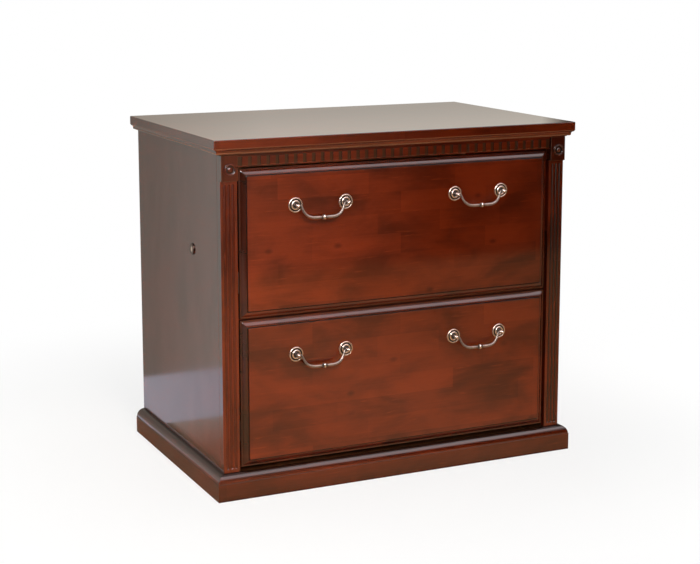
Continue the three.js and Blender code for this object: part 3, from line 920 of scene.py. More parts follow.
@dataclass
class Moulding:
    """A moulding along the front and both sides of the case, mitred at the front corners."""

    name: str
    mitre_gap: float = 0.3 * MM
    eased: float = 0.35 * MM

    def section(self) -> list[tuple[float, float]]:
        """Gives distance out from the case and height of each point, and is written by each moulding."""
        raise NotImplementedError

    def patina(self, node: str, point: Vector) -> float:
        """Gives the glaze and painted shade at a point of a run, which is none unless a moulding says so."""
        return 0.0

    def is_rubbed(self, face: BMFace) -> bool:
        """Tells whether a face is rubbed or painted as highlit, which none is unless a moulding says so."""
        return False

    def build(self) -> None:
        """Builds and dresses the three runs."""
        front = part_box("pilaster_left")[0].y
        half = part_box("side_panel_right")[1].x
        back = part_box("top_panel")[1].y
        section = self.section()
        run = bmesh.new()
        start = [Vector((-half - out, front - out, up)) for out, up in section]
        bmesh.ops.scale(run, vec=(-1.0, 1.0, 1.0), verts=pushed_outline(run, start))
        bmesh.ops.recalc_face_normals(run, faces=run.faces[:])
        self.finish(f"{self.name}_front", run, FRONT_RUN_WOOD)
        for side in Side:
            run = bmesh.new()
            mitred = front + self.mitre_gap
            start = [Vector((side.value * (half + out), mitred - out, up)) for out, up in section]
            to_back = Matrix.Translation((0.0, -back, 0.0))
            bmesh.ops.scale(run, vec=(1.0, 0.0, 1.0), space=to_back, verts=pushed_outline(run, start))
            bmesh.ops.recalc_face_normals(run, faces=run.faces[:])
            self.finish(f"{self.name}_{side.word}", run, SIDE_RUN_WOOD)

    def finish(self, node: str, run: BMesh, wood: Finish) -> None:
        """Eases a run and lays its glaze with painted shade, and its rubbed lines with painted highlight.

        Args:
            node: The run's solid.
            run: The mesh, which is used up.
            wood: The run's wood.
        """
        glaze(ease(run, self.eased), lambda point: self.patina(node, point))
        stand_for(node, rub(run, self.is_rubbed), wood, RUBBED_AND_HIGHLIT_WOOD)


@dataclass
class Cornice(Moulding):
    """The moulding under the top: a foot, a bead and a cove up to a fillet."""

    name: str = "cornice"
    fillet: float = 1.5 * MM
    cove_height: float = 5.5 * MM
    cove_reach: float = 5 * MM
    step: float = 1 * MM
    bead: float = 3 * MM
    foot: float = 5 * MM

    def section(self) -> list[tuple[float, float]]:
        """Gives distance out and height of each point of the cornice.

        Returns:
            The outline in order.
        """
        low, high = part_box("cornice_front")
        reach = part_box("pilaster_left")[0].y - low.y
        cove_top = high.z - self.fillet
        cove_bottom = cove_top - self.cove_height
        bead_top = cove_bottom - self.step
        bead_bottom = bead_top - self.bead
        bead_out = reach - self.cove_reach - self.bead
        return [
            (0.0, low.z),
            (self.foot, low.z),
            (self.foot, bead_bottom),
            *arc((bead_out, bead_top), (self.bead, self.bead), 270, 360),
            *arc((reach, cove_bottom), (self.cove_reach, self.cove_height), 180, 90),
            (reach, high.z),
            (0.0, high.z),
        ]

    def is_rubbed(self, face: BMFace) -> bool:
        """Rubs the bead and paints it lighter, as a highlight from the bright floor."""
        bead_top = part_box("cornice_front")[1].z - self.fillet - self.cove_height - self.step
        middle = face.calc_center_median().z
        return bead_top - self.bead - WELD < middle < bead_top + self.step and abs(face.normal.z) < 0.95


@dataclass
class Plinth(Moulding):
    """The base moulding: a flat board, a small step and an ovolo up to the case."""

    name: str = "plinth"
    flat: float = 38 * MM
    step: float = 1 * MM
    ovolo_steps: int = 20
    # Painted shade under the case over this reach, in the step, and evenly over the front run, darker
    # towards the floor
    glazed: float = 18 * MM
    film: float = 0.2
    foot_film: float = 0.35

    def section(self) -> list[tuple[float, float]]:
        """Gives distance out and height of each point of the plinth.

        Returns:
            The outline in order.
        """
        low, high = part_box("plinth_front")
        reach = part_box("pilaster_left")[0].y - low.y
        radii = (reach - self.step, high.z - self.flat)
        ovolo = arc((0.0, self.flat), radii, 0, 90, self.ovolo_steps)
        return [(0.0, low.z), (reach, low.z), (reach, self.flat), *ovolo]

    def patina(self, node: str, point: Vector) -> float:
        """Paints shade into the step and where the case begins, and at the front lays a painted shade film
        that darkens towards the floor.

        Args:
            node: The run's solid.
            point: A point of the run.

        Returns:
            The glaze there.
        """
        if abs(point.z - self.flat) < self.step / 4:
            return 1.0
        film = self.film + self.foot_film * max(0.0, 1 - point.z / self.flat)
        by_case = 1 - (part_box("plinth_front")[1].z - point.z) / self.glazed
        return max(film if node == "plinth_front" else 0.0, by_case)


@dataclass
class Pilasters:
    """The fluted posts at the front corners, each with a leg behind it that carries the slides."""

    flute_count: int = 3
    flute_pitch: float = 9 * MM
    flute_width: float = 6.5 * MM
    flute_depth: float = 2.5 * MM
    flute_stop: float = 6 * MM
    # Darkening in the flutes, more where deeper: glaze with painted shade, and more painted shade on the
    # right pilaster
    film: float = 0.4
    right_film: float = 0.8
    eased: float = 0.5 * MM

    def flute(self, x: float, face: float, low: float, high: float) -> BMesh:
        """Makes the cutter of one round-ended flute.

        Args:
            x: The flute's middle line.
            face: The pilaster's face.
            low: The flute's lower end.
            high: Its upper end.

        Returns:
            A round bar with ball ends, sunk into the face by the flute's depth.
        """
        radius = (self.flute_width ** 2 / 4 + self.flute_depth ** 2) / (2 * self.flute_depth)
        bm = bmesh.new()
        bmesh.ops.create_uvsphere(bm, u_segments=32, v_segments=17, radius=radius)
        straight = (high - low - self.flute_width) / 2
        for sign in (-1, 1):
            half = [vert for vert in bm.verts if vert.co.z * sign > 0]
            bmesh.ops.translate(bm, vec=(0.0, 0.0, sign * straight), verts=half)
        middle = Vector((x, face - radius + self.flute_depth, (low + high) / 2))
        bmesh.ops.translate(bm, vec=middle, verts=bm.verts[:])
        return bm

    def build(self) -> None:
        """Builds and dresses both pilasters."""
        plinth_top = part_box("plinth_front")[1].z
        for side in Side:
            low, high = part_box(f"pilaster_{side.word}")
            panel_low, panel_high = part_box(f"side_panel_{side.word}")
            outer, inner = sorted((low.x, high.x), key=abs, reverse=True)
            leg = min(panel_low.x, panel_high.x, key=abs)
            corners = [
                (inner, low.y),
                (outer, low.y),
                (outer, panel_low.y),
                (leg, panel_low.y),
                (leg, high.y),
                (inner, high.y),
            ]
            post = prism([Vector((x, y, low.z)) for x, y in corners], Vector((0.0, 0.0, high.z - low.z)))
            bmesh.ops.recalc_face_normals(post, faces=post.faces[:])
            ease(post, self.eased)
            middle = (inner + outer) / 2
            first = (1 - self.flute_count) / 2
            flutes = [
                self.flute(
                    middle + (first + i) * self.flute_pitch,
                    low.y,
                    plinth_top + self.flute_stop,
                    high.z - self.flute_stop,
                )
                for i in range(self.flute_count)
            ]
            carve(post, flutes)
            # Glaze with painted shade in the flutes, and more painted shade on the right
            film = self.film if side is Side.LEFT else self.right_film
            glaze(post, lambda point: film * min(1.0, max(0.0, point.y - low.y) / self.flute_depth))
            stand_for(f"pilaster_{side.word}", post, UPRIGHT_WOOD)


@dataclass
class CornerBlocks:
    """The blocks over the pilasters, each with a turned rosette on its face."""

    eased: float = 0.9 * MM
    film: float = 0.5
    lift: float = 24.5 * MM
    seat: float = 0.1 * MM
    radius: float = 13 * MM
    ring: float = 3.5 * MM
    outer_bead: float = 1.5 * MM
    bead_step: float = 0.8 * MM
    button: float = 5 * MM
    button_rise: float = 2.5 * MM
    proud: float = 4.5 * MM
    cove_depth: float = 0.4 * MM
    # Darkening by the mesh's attribute: crests a light glaze, cove and grooves glaze with painted shade
    crest_film: float = 0.3
    cove_film: float = 0.8
    groove_film: float = 0.9

    def rosette(self, centre: Vector) -> BMesh:
        """Turns a rosette: a ring of two beads, a hollow and a raised button.

        Args:
            centre: The middle of its seat on the block.

        Returns:
            The mesh.
        """
        outer = self.outer_bead / 2
        bead = (self.ring - self.outer_bead) / 2
        inner = self.radius - self.ring
        crest = self.proud - self.bead_step - outer
        foot = self.proud - self.button_rise
        cove = ((inner - self.button) / 2, self.cove_depth)
        outer_bead = arc((self.radius - outer, crest), (outer, outer), 0, 170)
        inner_bead = arc((inner + bead, self.proud - bead), (bead, bead), 10, 180)
        hollow = arc((self.button + cove[0], foot), cove, 360, 180)[1:-1]
        dome = arc((0.0, foot), (self.button, self.button_rise), 8, 90)
        # Painted shade where the rosette meets the block and in the grooves, glaze with painted shade in the
        # cove
        profile = [
            (0.0, self.seat),
            (self.radius, self.seat, 1.0),
            *((*point, self.crest_film) for point in outer_bead),
            *((*point, self.crest_film) for point in inner_bead),
            (inner, foot, self.groove_film),
            *((*point, self.cove_film) for point in hollow),
            (self.button, foot, self.groove_film),
            *((*point, self.crest_film) for point in dome),
        ]
        return turned(profile, facing_front(centre))

    def build(self) -> None:
        """Builds and dresses both blocks and their rosettes."""
        cornice_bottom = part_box("cornice_front")[0].z
        for side in Side:
            node = f"corner_block_{side.word}"
            low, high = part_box(node)
            case_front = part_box(f"pilaster_{side.word}")[0].y
            face = low.y + self.proud
            outline = [
                (face, low.z),
                (high.y, low.z),
                (high.y, high.z),
                (case_front, high.z),
                (case_front, cornice_bottom),
                (face, cornice_bottom),
            ]
            push = Vector((high.x - low.x, 0.0, 0.0))
            block = prism([Vector((low.x, y, z)) for y, z in outline], push)
            bmesh.ops.recalc_face_normals(block, faces=block.faces[:])
            # Eased edges take the rubbed wood, partly a painted highlight, and the block an even darker tone
            glaze(ease(block, self.eased, finish=1), lambda point: self.film)
            stand_for(node, block, UPRIGHT_WOOD, RUBBED_AND_HIGHLIT_WOOD)
            centre = Vector(((low.x + high.x) / 2, face, low.z + self.lift))
            rosette = self.rosette(centre)
            show(f"rosette_{side.word}", rosette, [UPRIGHT_WOOD], "case")


@dataclass
class DentilRail:
    """The rail over the drawers with a row of small square blocks."""

    pitch: float = 20.5 * MM
    width: float = 13 * MM
    height: float = 19 * MM
    lip: float = 2.5 * MM
    margin: float = 10 * MM
    rubbed: float = 1.2 * MM
    eased: float = 0.35 * MM

    def build(self) -> None:
        """Builds the rail, cuts its face into dentils and raises them."""
        low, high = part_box("dentil_rail")
        case_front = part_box("pilaster_left")[0].y
        proud = case_front - low.y
        rail = board(Vector((low.x, case_front, low.z)), high)
        count = math.floor((high.x - low.x - 2 * self.margin - self.width) / self.pitch) + 1
        middles = [(i - (count - 1) / 2) * self.pitch for i in range(count)]
        bottom = low.z + self.lip
        cuts = [(Vector((0.0, 0.0, z)), Vector((0.0, 0.0, 1.0))) for z in (bottom, bottom + self.height)]
        for middle in middles:
            for x in (middle - self.width / 2, middle + self.width / 2):
                cuts.append((Vector((x, 0.0, 0.0)), Vector((1.0, 0.0, 0.0))))
        for point, normal in cuts:
            geometry = [*rail.verts, *rail.edges, *rail.faces]
            bmesh.ops.bisect_plane(rail, geom=geometry, plane_co=point, plane_no=normal)
        raised = [face for face in rail.faces if self.is_dentil(face, middles, bottom)]
        pushed = bmesh.ops.extrude_discrete_faces(rail, faces=raised)["faces"]
        corners = list({vert for face in pushed for vert in face.verts})
        bmesh.ops.translate(rail, vec=(0.0, -proud, 0.0), verts=corners)
        # Sunk faces between the dentils take the painted gap shade
        for face in rail.faces:
            centre = face.calc_center_median()
            level = bottom < centre.z < bottom + self.height
            sunk = level and low.y + WELD < centre.y < case_front + WELD
            face.material_index = 2 if sunk and abs(face.normal.z) < 0.5 else 0
        bmesh.ops.dissolve_limit(
            rail, angle_limit=FLAT, verts=rail.verts[:], edges=rail.edges[:], delimit={"MATERIAL"}
        )
        # The dentils' lower front edges get a rounding in the rubbed wood, as a painted highlight from the
        # bright floor
        feet = [edge for edge in rail.edges if self.is_foot(edge, low.y, bottom)]
        bmesh.ops.bevel(
            rail, geom=feet, offset=self.rubbed, affect="EDGES", segments=3, profile=0.5, material=1
        )
        stand_for("dentil_rail", ease(rail, self.eased), FRONT_RUN_WOOD, RUBBED_AND_HIGHLIT_WOOD, SHADED_GAP_WOOD)

    def is_foot(self, edge: BMEdge, face: float, bottom: float) -> bool:
        """Tells whether an edge is the lower front edge of a dentil."""
        ends = [vert.co for vert in edge.verts]
        return all(abs(end.y - face) < WELD and abs(end.z - bottom) < WELD for end in ends)

    def is_dentil(self, face: BMFace, middles: Sequence[float], bottom: float) -> bool:
        """Tells whether a face of the cut rail becomes a dentil.

        Args:
            face: The face.
            middles: Where the dentils stand.
            bottom: The dentils' lower edge.

        Returns:
            True for the front of a dentil.
        """
        centre = face.calc_center_median()
        level = bottom < centre.z < bottom + self.height
        return face.normal.y < -0.9 and level and any(abs(centre.x - m) < WELD for m in middles)


@dataclass
class CaseBoards:
    """The plain boards of the case."""

    eased: float = 0.6 * MM

    def build(self) -> None:
        """Eases the side panels and dresses the boards that are hidden or plain."""
        for side in Side:
            node = f"side_panel_{side.word}"
            stand_for(node, ease(solid_copy(node), self.eased), SIDE_WOOD)
            dress(f"slide_post_{side.word}", POST_WOOD)
        stand_for("divider_rail", ease(solid_copy("divider_rail"), self.eased), FRONT_RUN_WOOD)
        # The bottom board, seen only in the gap under the lower drawer, gets the painted gap shade
        dress("bottom_panel", SHADED_GAP_WOOD)
        dress("back_panel", BACK_BOARD)


@dataclass
class Lock:
    """The cylinder lock in the left side: barrel, plug with crank, and bar."""

    seat: float = 0.3 * MM
    rim_radius: float = 12.5 * MM
    rim_thickness: float = 2.5 * MM
    rim_round: float = 1.2 * MM
    body_radius: float = 9.5 * MM
    bore_radius: float = 6.3 * MM
    groove: float = 0.5 * MM
    groove_radius: float = 8.4 * MM
    groove_width: float = 1.0 * MM
    eased: float = 0.25 * MM

    def build(self) -> None:
        """Builds and dresses the barrel, the plug and the bar."""
        low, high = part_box("lock_barrel")
        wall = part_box("side_panel_left")[0].x
        axis = Vector((wall, (low.y + high.y) / 2, (low.z + high.z) / 2))
        face = self.seat + self.rim_thickness
        inner_end = wall - high.x
        groove_low, groove_high = self.groove_radius - self.groove_width, self.groove_radius
        profile = [
            (self.bore_radius, inner_end),
            (self.body_radius, inner_end),
            (self.body_radius, self.seat),
            (self.rim_radius, self.seat),
            *arc((self.rim_radius - self.rim_round, face - self.rim_round), (self.rim_round,) * 2, 0, 90, 8),
            (groove_high, face),
            (groove_high, face - self.groove),
            (groove_low, face - self.groove),
            (groove_low, face),
            (self.bore_radius, face),
        ]
        stand_for("lock_barrel", turned(profile, facing_left(axis), closed=True), BRONZE)
        stand_for("lock_plug", ease(solid_copy("lock_plug"), self.eased), NICKEL)
        stand_for("lock_bar", ease(solid_copy("lock_bar"), self.eased), ZINC)


# The drawers


@dataclass
class DrawerFront:
    """A drawer front: square at the back, with a fillet, a flat ovolo and a quirk up to the raised field."""

    level: Level
    drop: float = 9 * MM
    fillet: float = 3.5 * MM
    ovolo: float = 10.5 * MM
    quirk: float = 2 * MM
    quirk_width: float = 1.5 * MM
    groove: float = 0.8 * MM
    arris: float = 0.6 * MM
    bow: float = 15
    # Painted shade on the outer edge, the fillet, the quirk and the left side; the ovolo only darkened
    edge_film: float = 0.5
    fillet_film: float = 0.8
    film: float = 0.35
    left_film: float = 0.75
    mitre_round: float = 1.4 * MM
    eased: float = 0.35 * MM

    def build(self) -> None:
        """Insets the front face step by step through the moulded edge, paints shade into its quirk, outer
        edge and left side, and darkens its ovolo.
        """
        node = f"{self.level.value}_drawer_front"
        low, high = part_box(node)
        bm = board(Vector((low.x, low.y + self.drop, low.z)), high)
        bm.faces.ensure_lookup_table()
        field_face = min(bm.faces, key=lambda face: face.normal.y)
        layer = bm.verts.layers.float.new("patina")
        ovolo_end = self.fillet + self.ovolo
        ovolo = self.bowed_edge()
        steps = [
            (0.0, self.drop, self.edge_film),
            (*ovolo[0], self.fillet_film),
            *((inset, depth, self.film) for inset, depth in ovolo[1:]),
            (ovolo_end + self.groove / 4, self.quirk + self.groove, 1.0),
            (ovolo_end + self.quirk_width, self.quirk + self.groove, 1.0),
            (ovolo_end + self.quirk_width + self.arris, 0.0, 0.0),
        ]
        for (inset, depth, _), (next_inset, next_depth, patina) in zip(steps, steps[1:]):
            bmesh.ops.inset_region(
                bm,
                faces=[field_face],
                thickness=next_inset - inset,
                depth=depth - next_depth,
                use_even_offset=True,
                use_boundary=True,
            )
            for vert in field_face.verts:
                vert[layer] = patina
        # Painted shade on the outer sides, in the gap to the case
        for vert in bm.verts:
            if vert.co.y > low.y + self.drop - WELD:
                vert[layer] = self.edge_film
        bmesh.ops.recalc_face_normals(bm, faces=bm.faces[:])
        mitres = [edge for edge in bm.edges if self.is_mitre(edge)]
        bmesh.ops.bevel(
            bm, geom=mitres, offset=self.mitre_round, affect="EDGES", segments=3, profile=0.5, material=-1
        )
        # The left side of the moulded edge darker, as painted shade
        for vert in bm.verts:
            to_others = min(high.x - vert.co.x, vert.co.z - low.z, high.z - vert.co.z)
            if vert[layer] > 0 and vert.co.x - low.x < to_others:
                vert[layer] = max(vert[layer], self.left_film)
        stand_for(node, ease(bm, self.eased), FIELD_WOOD)

    def bowed_edge(self) -> list[tuple[float, float]]:
        """Gives the slightly bowed slope of the moulded edge.

        Returns:
            Inset and depth of each point, from the outer fillet to the quirk.
        """
        rise = self.drop - self.quirk
        slope = math.degrees(math.atan2(rise, self.ovolo))
        radius = math.hypot(rise, self.ovolo) / 2 / math.sin(math.radians(self.bow))
        start, end = 270 - slope - self.bow, 270 - slope + self.bow
        across, back = math.cos(math.radians(start)), math.sin(math.radians(start))
        centre = (self.fillet - radius * across, self.drop - radius * back)
        return arc(centre, (radius, radius), start, end)

    def is_mitre(self, edge: BMEdge) -> bool:
        """Tells whether an edge of the moulded rim runs along a mitre."""
        run = edge.verts[1].co - edge.verts[0].co
        return min(abs(run.x), abs(run.z)) > WELD


@dataclass
class DrawerBox:
    """The box behind a drawer front, with its hanging-file rails and slide channels."""

    level: Level
    eased: float = 0.8 * MM
    rail_eased: float = 0.5 * MM
    channel_eased: float = 0.35 * MM

    def build(self) -> None:
        """Eases and dresses the boards, the rails and the channels."""
        prefix = self.level.value
        for side in Side:
            node = f"{prefix}_drawer_side_{side.word}"
            stand_for(node, ease(solid_copy(node), self.eased), BOX_SIDE_WOOD)
            for member in ("outer", "middle", "inner"):
                channel = f"{prefix}_slide_{member}_{side.word}"
                stand_for(channel, ease(solid_copy(channel), self.channel_eased), ZINC)
        back = f"{prefix}_drawer_back"
        stand_for(back, ease(solid_copy(back), self.eased), BOX_BACK_WOOD)
        dress(f"{prefix}_drawer_bottom", BOX_FLOOR_WOOD)
        for place in ("front", "rear"):
            rail = f"{prefix}_file_rail_{place}"
            stand_for(rail, ease(solid_copy(rail), self.rail_eased), ALUMINIUM)


@dataclass
class BailPull:
    """A bail pull: two turned roses with ball finials, and a swinging bail with a collar."""

    level: Level
    side: Side
    seat: float = 0.3 * MM
    rose_radius: float = 16 * MM
    rim: float = 3 * MM
    rim_height: float = 3 * MM
    hollow: float = 1.4 * MM
    inner_radius: float = 10.4 * MM
    inner_rim: float = 4.2 * MM
    inner_height: float = 4.6 * MM
    post_radius: float = 3 * MM
    post_rise: float = 8 * MM
    pivot_reach: float = 12.5 * MM
    knuckle_radius: float = 3.9 * MM
    finial_reach: float = 17.6 * MM
    finial_radius: float = 3.4 * MM
    finial_neck: float = 2 * MM
    pin_radius: float = 1.6 * MM
    pin_stop: float = 1 * MM
    running_gap: float = 0.3 * MM
    drop: float = 27.5 * MM
    lean: float = math.radians(12)
    shoulder: float = 2 * MM
    bend: float = 6 * MM
    fall: float = 3 * MM
    sweep: float = 34 * MM
    neck_radius: float = 1.9 * MM
    grip_radius: float = 3.2 * MM
    waist_radius: float = 2.6 * MM
    collar_radius: float = 6 * MM
    collar_width: float = 4 * MM
    bead_radius: float = 4.4 * MM
    bead_width: float = 1.8 * MM
    seat_film: float = 0.5
    cove_film: float = 0.7
    knuckle_film: float = 0.2
    pin_film: float = 0.6
    shoulder_film: float = 0.8
    bead_film: float = 0.5
    ring_sides: int = 20
    bend_steps: int = 22
    grip_steps: int = 8

    def rose_profile(self) -> list[tuple[float, float, float]]:
        """Gives radius, reach and patina along a rose, from its seat to the tip of the finial.

        Returns:
            The half profile.
        """
        rim, inner = self.rim / 2, self.inner_rim / 2
        inner_low = self.inner_radius - self.inner_rim
        cove = (inner_low - self.post_radius, self.post_rise - self.rim_height)
        knuckle_start = math.degrees(math.asin(self.post_radius / self.knuckle_radius)) - 90
        knuckle_end = math.degrees(math.acos(self.finial_neck / self.knuckle_radius))
        finial_start = math.degrees(math.asin(self.finial_neck / self.finial_radius)) - 90
        knuckle = arc((0.0, self.pivot_reach), (self.knuckle_radius,) * 2, knuckle_start, knuckle_end)
        stretches = [
            ([(0.0, self.seat), (self.rose_radius, self.seat)], self.seat_film),
            (arc((self.rose_radius - rim, self.rim_height - rim), (rim, rim), 0, 180), 0.0),
            ([(self.rose_radius - self.rim, self.hollow), (self.inner_radius, self.hollow)], 1.0),
            (arc((self.inner_radius - inner, self.inner_height - inner), (inner, inner), 0, 180), 0.0),
            (arc((inner_low, self.post_rise), cove, 270, 180), self.cove_film),
            (knuckle, self.knuckle_film),
            (arc((0.0, self.finial_reach), (self.finial_radius,) * 2, finial_start, 90), 0.0),
        ]
        return [(radius, reach, patina) for points, patina in stretches for radius, reach in points]

    def rose(self, node: str, bail_middle: float) -> None:
        """Builds a rose whose knuckle is bored for the bail.

        Args:
            node: The rose's solid.
            bail_middle: The X of the bail's middle, towards which the bore opens.
        """
        low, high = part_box(node)
        seat = Vector(((low.x + high.x) / 2, high.y + self.seat, (low.z + high.z) / 2))
        rose = turned(self.rose_profile(), facing_front(seat))
        way = math.copysign(1.0, bail_middle - seat.x)
        depth = self.knuckle_radius + self.pin_stop
        bore = seat + Vector((way * (depth / 2 - self.running_gap), -self.pivot_reach, 0.0))
        cutter = rod_along_x(bore, self.pin_radius + self.running_gap, depth)
        stand_for(node, carve(rose, [cutter]), PEWTER)

    def bail_stations(self, half_span: float) -> list[tuple[float, float, float, float, float]]:
        """Gives the rings of one half of the bail, from the pin's tip to the middle.

        Args:
            half_span: Half the distance between the roses.

        Returns:
            X, Z, radius, slope angle and patina of each ring.
        """
        start = half_span - self.knuckle_radius - self.shoulder
        stations = [
            (half_span - self.pin_stop, 0.0, self.pin_radius, 0.0, self.pin_film),
            (start + self.shoulder / 2, 0.0, self.pin_radius, 0.0, self.shoulder_film),
        ]
        ends = [(start, 0.0), (start - self.bend, 0.0), (start - self.fall, -self.drop)]
        ends.append((start - self.sweep, -self.drop))
        for i in range(self.bend_steps + 1):
            t = i / self.bend_steps
            weights = [(1 - t) ** 3, 3 * t * (1 - t) ** 2, 3 * t ** 2 * (1 - t), t ** 3]
            x, z = (sum(w * end[axis] for w, end in zip(weights, ends)) for axis in (0, 1))
            slopes = [(1 - t) ** 2, 2 * t * (1 - t), t ** 2]
            dx, dz = (
                sum(w * (b[axis] - a[axis]) for w, a, b in zip(slopes, ends, ends[1:])) for axis in (0, 1)
            )
            radius = self.neck_radius + (self.grip_radius - self.neck_radius) * t ** 1.5
            stations.append((x, z, radius, math.atan2(dz, -dx), 0.56 - 0.1 * t))
        grip = start - self.sweep
        bead_out = self.collar_width / 2 + self.bead_width
        for i in range(1, self.grip_steps + 1):
            t = i / self.grip_steps
            radius = self.grip_radius + (self.waist_radius - self.grip_radius) * t * t
            stations.append((grip + (bead_out - grip) * t, -self.drop, radius, 0.0, 0.46 + 0.34 * t ** 6))
        bead = self.bead_width / 2
        bead_rise = self.bead_radius - self.waist_radius
        collar_rise = self.collar_radius - self.bead_radius
        rings = [
            *arc((bead_out - bead, self.waist_radius), (bead, bead_rise), 0, 150, 8)[1:],
            *arc((0.0, self.bead_radius), (self.collar_width / 2, collar_rise), 0, 90, 8),
        ]
        for x, radius in rings:
            crest = radius > self.bead_radius - 0.3 * MM and x < self.collar_width / 2 - 0.1 * MM
            stations.append((x, -self.drop, radius, 0.0, 0.0 if crest else self.bead_film))
        return stations

    def bail(self, node: str, pivot: Vector, half_span: float) -> None:
        """Sweeps the bail from pin to pin and leans it out on its pivot.

        Args:
            node: The bail's solid.
            pivot: The middle of the line through both knuckles.
            half_span: Half the distance between the roses.
        """
        bm = bmesh.new()
        layer = bm.verts.layers.float.new("patina")
        half = self.bail_stations(half_span)
        other = [(-x, z, radius, -slope, patina) for x, z, radius, slope, patina in reversed(half[:-1])]
        rings: list[list] = []
        for x, z, radius, slope, patina in [*half, *other]:
            turn = Matrix.Rotation(slope - math.radians(90), 4, "Y")
            ring = bmesh.ops.create_circle(
                bm,
                segments=self.ring_sides,
                radius=radius,
                matrix=Matrix.Translation((x, 0.0, z)) @ turn,
            )["verts"]
            for vert in ring:
                vert[layer] = patina
            rings.append(list({edge for vert in ring for edge in vert.link_edges}))
        for ring, following in zip(rings, rings[1:]):
            bmesh.ops.bridge_loops(bm, edges=[*ring, *following])
        for end in (rings[0], rings[-1]):
            bmesh.ops.holes_fill(bm, edges=end)
        lean = Matrix.Translation(pivot) @ Matrix.Rotation(-self.lean, 4, "X")
        bmesh.ops.transform(bm, matrix=lean, verts=bm.verts[:])
        stand_for(node, bm, PEWTER)

    def build(self) -> None:
        """Builds and dresses both roses and the bail."""
        name = f"{self.level.value}_{self.side.word}"
        joint = next(row for row in frame["joints"] if row["name"] == f"{name}_bail_swing")
        pivot = Vector(joint["pos_m"])
        low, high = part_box(f"{name}_pull_rose_left")
        for hand in Side:
            self.rose(f"{name}_pull_rose_{hand.word}", pivot.x)
        self.bail(f"{name}_pull_bail", pivot, pivot.x - (low.x + high.x) / 2)


# The studio

# Where the boards behind and before the cabinet stand, and how high those on the floor lie
BACK_WALL = 0.745
FRONT_WALL = -2.4
BEFORE_WALL = -2.39
ON_FLOOR = 0.002
WHITE = "#ffffff"
WARM_WHITE = "#fff4ea"
COOL_WHITE = "#eef1ff"


@dataclass(frozen=True)
class StudioFloor(Finish):
    """Pale studio paper.

    The camera sees it as white with a soft shadow round the cabinet, and reflections show it darker and
    warmer, as a polished floor would look in them.
    """

    paper: str = "#e8e6e3"
    reflected: str = "#a0907a"
    shadow_keep: float = 0.20
    shadow_core: float = 0.5
    shadow_reach: float = 1.5

    def shade(self, tree: bpy.types.NodeTree) -> bpy.types.Node:
        """Adds the paper and the white that the camera sees.

        Args:
            tree: The material's node tree.

        Returns:
            The surface shader.
        """
        ray = add_node(tree, "LightPath")
        glossy = ray.outputs["Is Glossy Ray"]
        shown = {SHARE: glossy, UNDER: linear(self.paper), OVER: linear(self.reflected)}
        colour = add_node(tree, "Mix", COLOURS, shown).outputs[MIXED]
        real = add_node(tree, "BsdfDiffuse", inputs={"Color": colour})
        white = add_node(tree, "Emission", inputs={"Strength": 1.0})
        place = add_node(tree, "TexCoord").outputs["Object"]
        away = add_node(tree, "VectorMath", {"operation": "LENGTH"}, {0: place}).outputs["Value"]
        fade = {"From Min": self.shadow_core, "From Max": self.shadow_reach, "To Min": 1 - self.shadow_keep}
        share = add_node(tree, "MapRange", SMOOTH, {"Value": away, **fade}).outputs[0]
        seen = add_node(tree, "Math", MULTIPLY, {0: ray.outputs["Is Camera Ray"], 1: share}).outputs[0]
        return add_node(tree, "MixShader", inputs={0: seen, 1: real.outputs[0], 2: white.outputs[0]})


@dataclass(frozen=True)
class BoardPaint(Finish):
    """Paint of a studio board, which goes over from one tone to another along an axis."""

    first: str
    last: str
    first_end: float = -1.0
    last_start: float = 1.0
    strength: float = 1.0
    axis: str = "X"
    foot_share: float = 1.0
    foot_end: float = 0.82
    full_start: float = 0.95

    def shade(self, tree: bpy.types.NodeTree) -> bpy.types.Node:
        """Adds the paint's brightness.

        Args:
            tree: The material's node tree.

        Returns:
            The surface shader.
        """
        place = add_node(tree, "TexCoord").outputs["Object"]
        parts = add_node(tree, "SeparateXYZ", inputs={0: place})
        reach = {"From Min": self.first_end, "From Max": self.last_start}
        along = add_node(tree, "MapRange", inputs={"Value": parts.outputs[self.axis], **reach}).outputs[0]
        tones = {SHARE: along, UNDER: linear(self.first), OVER: linear(self.last)}
        colour = add_node(tree, "Mix", COLOURS, tones).outputs[MIXED]
        rise = {
            "Value": parts.outputs["Z"],
            "From Min": self.foot_end,
            "From Max": self.full_start,
            "To Min": self.foot_share * self.strength,
            "To Max": self.strength,
        }
        strength = add_node(tree, "MapRange", inputs=rise).outputs[0]
        return add_node(tree, "Emission", inputs={"Color": colour, "Strength": strength})


@dataclass(frozen=True)
class ReflectionBoard:
    """A flat studio board that only reflections show."""

    low: tuple[float, float, float]
    high: tuple[float, float, float]
    paint: BoardPaint

    def build(self) -> None:
        """Stands the board upright, or lays it on the floor where it has no height."""
        low, high = Vector(self.low), Vector(self.high)
        size = (high - low) / 2
        upright = size.z > size.y
        turn = Matrix.Rotation(math.radians(90 * upright), 4, "X")
        scale = Matrix.Diagonal((size.x, size.z if upright else size.y, 1.0, 1.0))
        bm = bmesh.new()
        bmesh.ops.create_grid(bm, size=1.0, matrix=Matrix.Translation((low + high) / 2) @ turn @ scale)
        placed = put_in_studio(self.paint.name.replace(" ", "_"), bm, self.paint)
        placed.visible_camera = False
        placed.visible_diffuse = False
        placed.visible_shadow = False
        placed.visible_transmission = False


